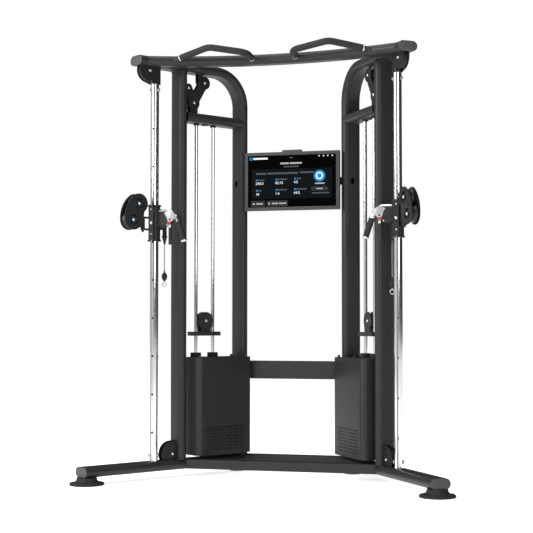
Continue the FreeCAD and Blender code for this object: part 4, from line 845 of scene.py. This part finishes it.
figures = (("240.0", .090, .562), ("02:15", .314, .556), ("4.5", .524, .548),
           ("18", .090, .770), ("1.6", .314, .760), ("64.2", .524, .752))
whites = [figure("figure%d" % number, *row) for number, row in enumerate(figures)]
whites.append(disc("roundelRing", **roundel, radius=.0195, lift=layerSizes["white"], inner=.0125))
for number, across in enumerate((.811, .860, .908, .959)):
    whites.append(disc("icon%d" % number, across, .034, .0036, layerSizes["icon"]))
whites.append(disc("homeIcon", .067, .932, .0040, layerSizes["white"]))
whites.append(disc("againIcon", .243, .930, .0040, layerSizes["white"], .0022))
whites.append(tile("cornerBar", .062, .038, .228, .074, layerSizes["text"]))
fit(joined(whites, "pictureWhites"), "screen", "picture_white")
wordEdges = ((.372, .143, .470, .176), (.480, .143, .616, .176), (.763, .548, .871, .574),
             (.780, .652, .850, .672), (.094, .918, .172, .944), (.274, .916, .346, .942),
             (.356, .916, .438, .942))
words = joined(tiles("words", wordEdges, layerSizes["text"]), "pictureWords")
fit(words, "screen", "picture_text")
dot = disc("pictureDot", .036, .057, .0088, layerSizes["text"], .0040)
fit(dot, "screen", "picture_blue")
lens = disc("cameraLens", .5, -.032, .0028, layerSizes["lens"])
fit(lens, "screen", "dark_hole")
print("screen picture done")


# floor, light and camera
floorSizes = dict(size=60, below=.0005, glow=.74)
floorLook = dict(dark=(.86, .86, .86), light=(.89, .89, .89), speckleScale=3, rough=(.85, .95), grainScale=60,
                 grain=.01, specular=.1)
fresh()
bpy.ops.mesh.primitive_plane_add(size=floorSizes["size"], location=(0, 0, -floorSizes["below"]))
floor = bpy.context.object
floor.name = "floor"
floorFinish = surface("floor_pale", floorLook)
floorShader = floorFinish.node_tree.nodes["Principled BSDF"]
floorShader.inputs["Emission Color"].default_value = (1, 1, 1, 1)
floorShader.inputs["Emission Strength"].default_value = floorSizes["glow"]
floor.data.materials.append(floorFinish)

worldSizes = dict(left=.68, leftEnds=.42, right=.06, rightStarts=.74, dimFrom=.15, dimTo=.75, dimmest=.10)
world = bpy.data.worlds.new("studio")
bpy.context.scene.world = world
world.use_nodes = True
tree = world.node_tree
add, link = tree.nodes.new, tree.links.new
coords = add("ShaderNodeTexCoord")
split = add("ShaderNodeSeparateXYZ")
link(coords.outputs["Generated"], split.inputs["Vector"])
ramp = add("ShaderNodeValToRGB")  # across the studio: bright on the left, dark on the right
leftStop, rightStop = ramp.color_ramp.elements
leftStop.position, rightStop.position = worldSizes["leftEnds"], worldSizes["rightStarts"]
leftStop.color = (*[worldSizes["left"]] * 3, 1)
rightStop.color = (*[worldSizes["right"]] * 3, 1)
across = add("ShaderNodeMapRange")
across.inputs["From Min"].default_value = -1
link(split.outputs["X"], across.inputs["Value"])
link(across.outputs["Result"], ramp.inputs["Fac"])
depth = add("ShaderNodeMapRange")  # and dim behind the machine
depth.inputs["From Min"].default_value = worldSizes["dimFrom"]
depth.inputs["From Max"].default_value = worldSizes["dimTo"]
depth.inputs["To Min"].default_value = 1
depth.inputs["To Max"].default_value = worldSizes["dimmest"]
link(split.outputs["Y"], depth.inputs["Value"])
shade = add("ShaderNodeMix")
shade.data_type = "RGBA"
shade.blend_type = "MULTIPLY"
shade.inputs["Factor"].default_value = 1
link(ramp.outputs["Color"], shade.inputs["A"])
link(depth.outputs["Result"], shade.inputs["B"])
seen = add("ShaderNodeLightPath")  # the background itself stays white
backdrop = add("ShaderNodeMix")
backdrop.data_type = "RGBA"
backdrop.inputs["B"].default_value = (1, 1, 1, 1)
link(shade.outputs["Result"], backdrop.inputs["A"])
link(seen.outputs["Is Camera Ray"], backdrop.inputs["Factor"])
link(backdrop.outputs["Result"], tree.nodes["Background"].inputs["Color"])


def softLight(name, place, aimAt, size, power):
    fresh()
    bpy.ops.object.light_add(type="AREA", location=place)
    light = bpy.context.object
    light.name = name
    light.data.size = size
    light.data.energy = power
    light.rotation_euler = (Vector(aimAt) - Vector(place)).to_track_quat("-Z", "Y").to_euler()


softLight("keyLight", place=(-4.2, -4.6, 3.4), aimAt=(0, 0, 1.0), size=2.6, power=320)
softLight("fillLight", place=(3.6, -5.2, 2.2), aimAt=(0, 0, 1.0), size=2.0, power=90)
softLight("topLight", place=(0, -.6, 5.6), aimAt=(0, 0, 0), size=4.0, power=130)

cameraSizes = dict(place=(1.563, -6.038, .798), pitch=2.41, turn=14.36, lens=84.7, shift=-.024)
fresh()
bpy.ops.object.camera_add(location=cameraSizes["place"])
camera = bpy.context.object
camera.name = "camera"
camera.rotation_euler = (math.radians(90 + cameraSizes["pitch"]), 0, math.radians(cameraSizes["turn"]))
camera.data.lens = cameraSizes["lens"]
camera.data.shift_x = cameraSizes["shift"]
bpy.context.scene.camera = camera
bpy.context.scene.view_settings.view_transform = "Standard"
print("studio ready")
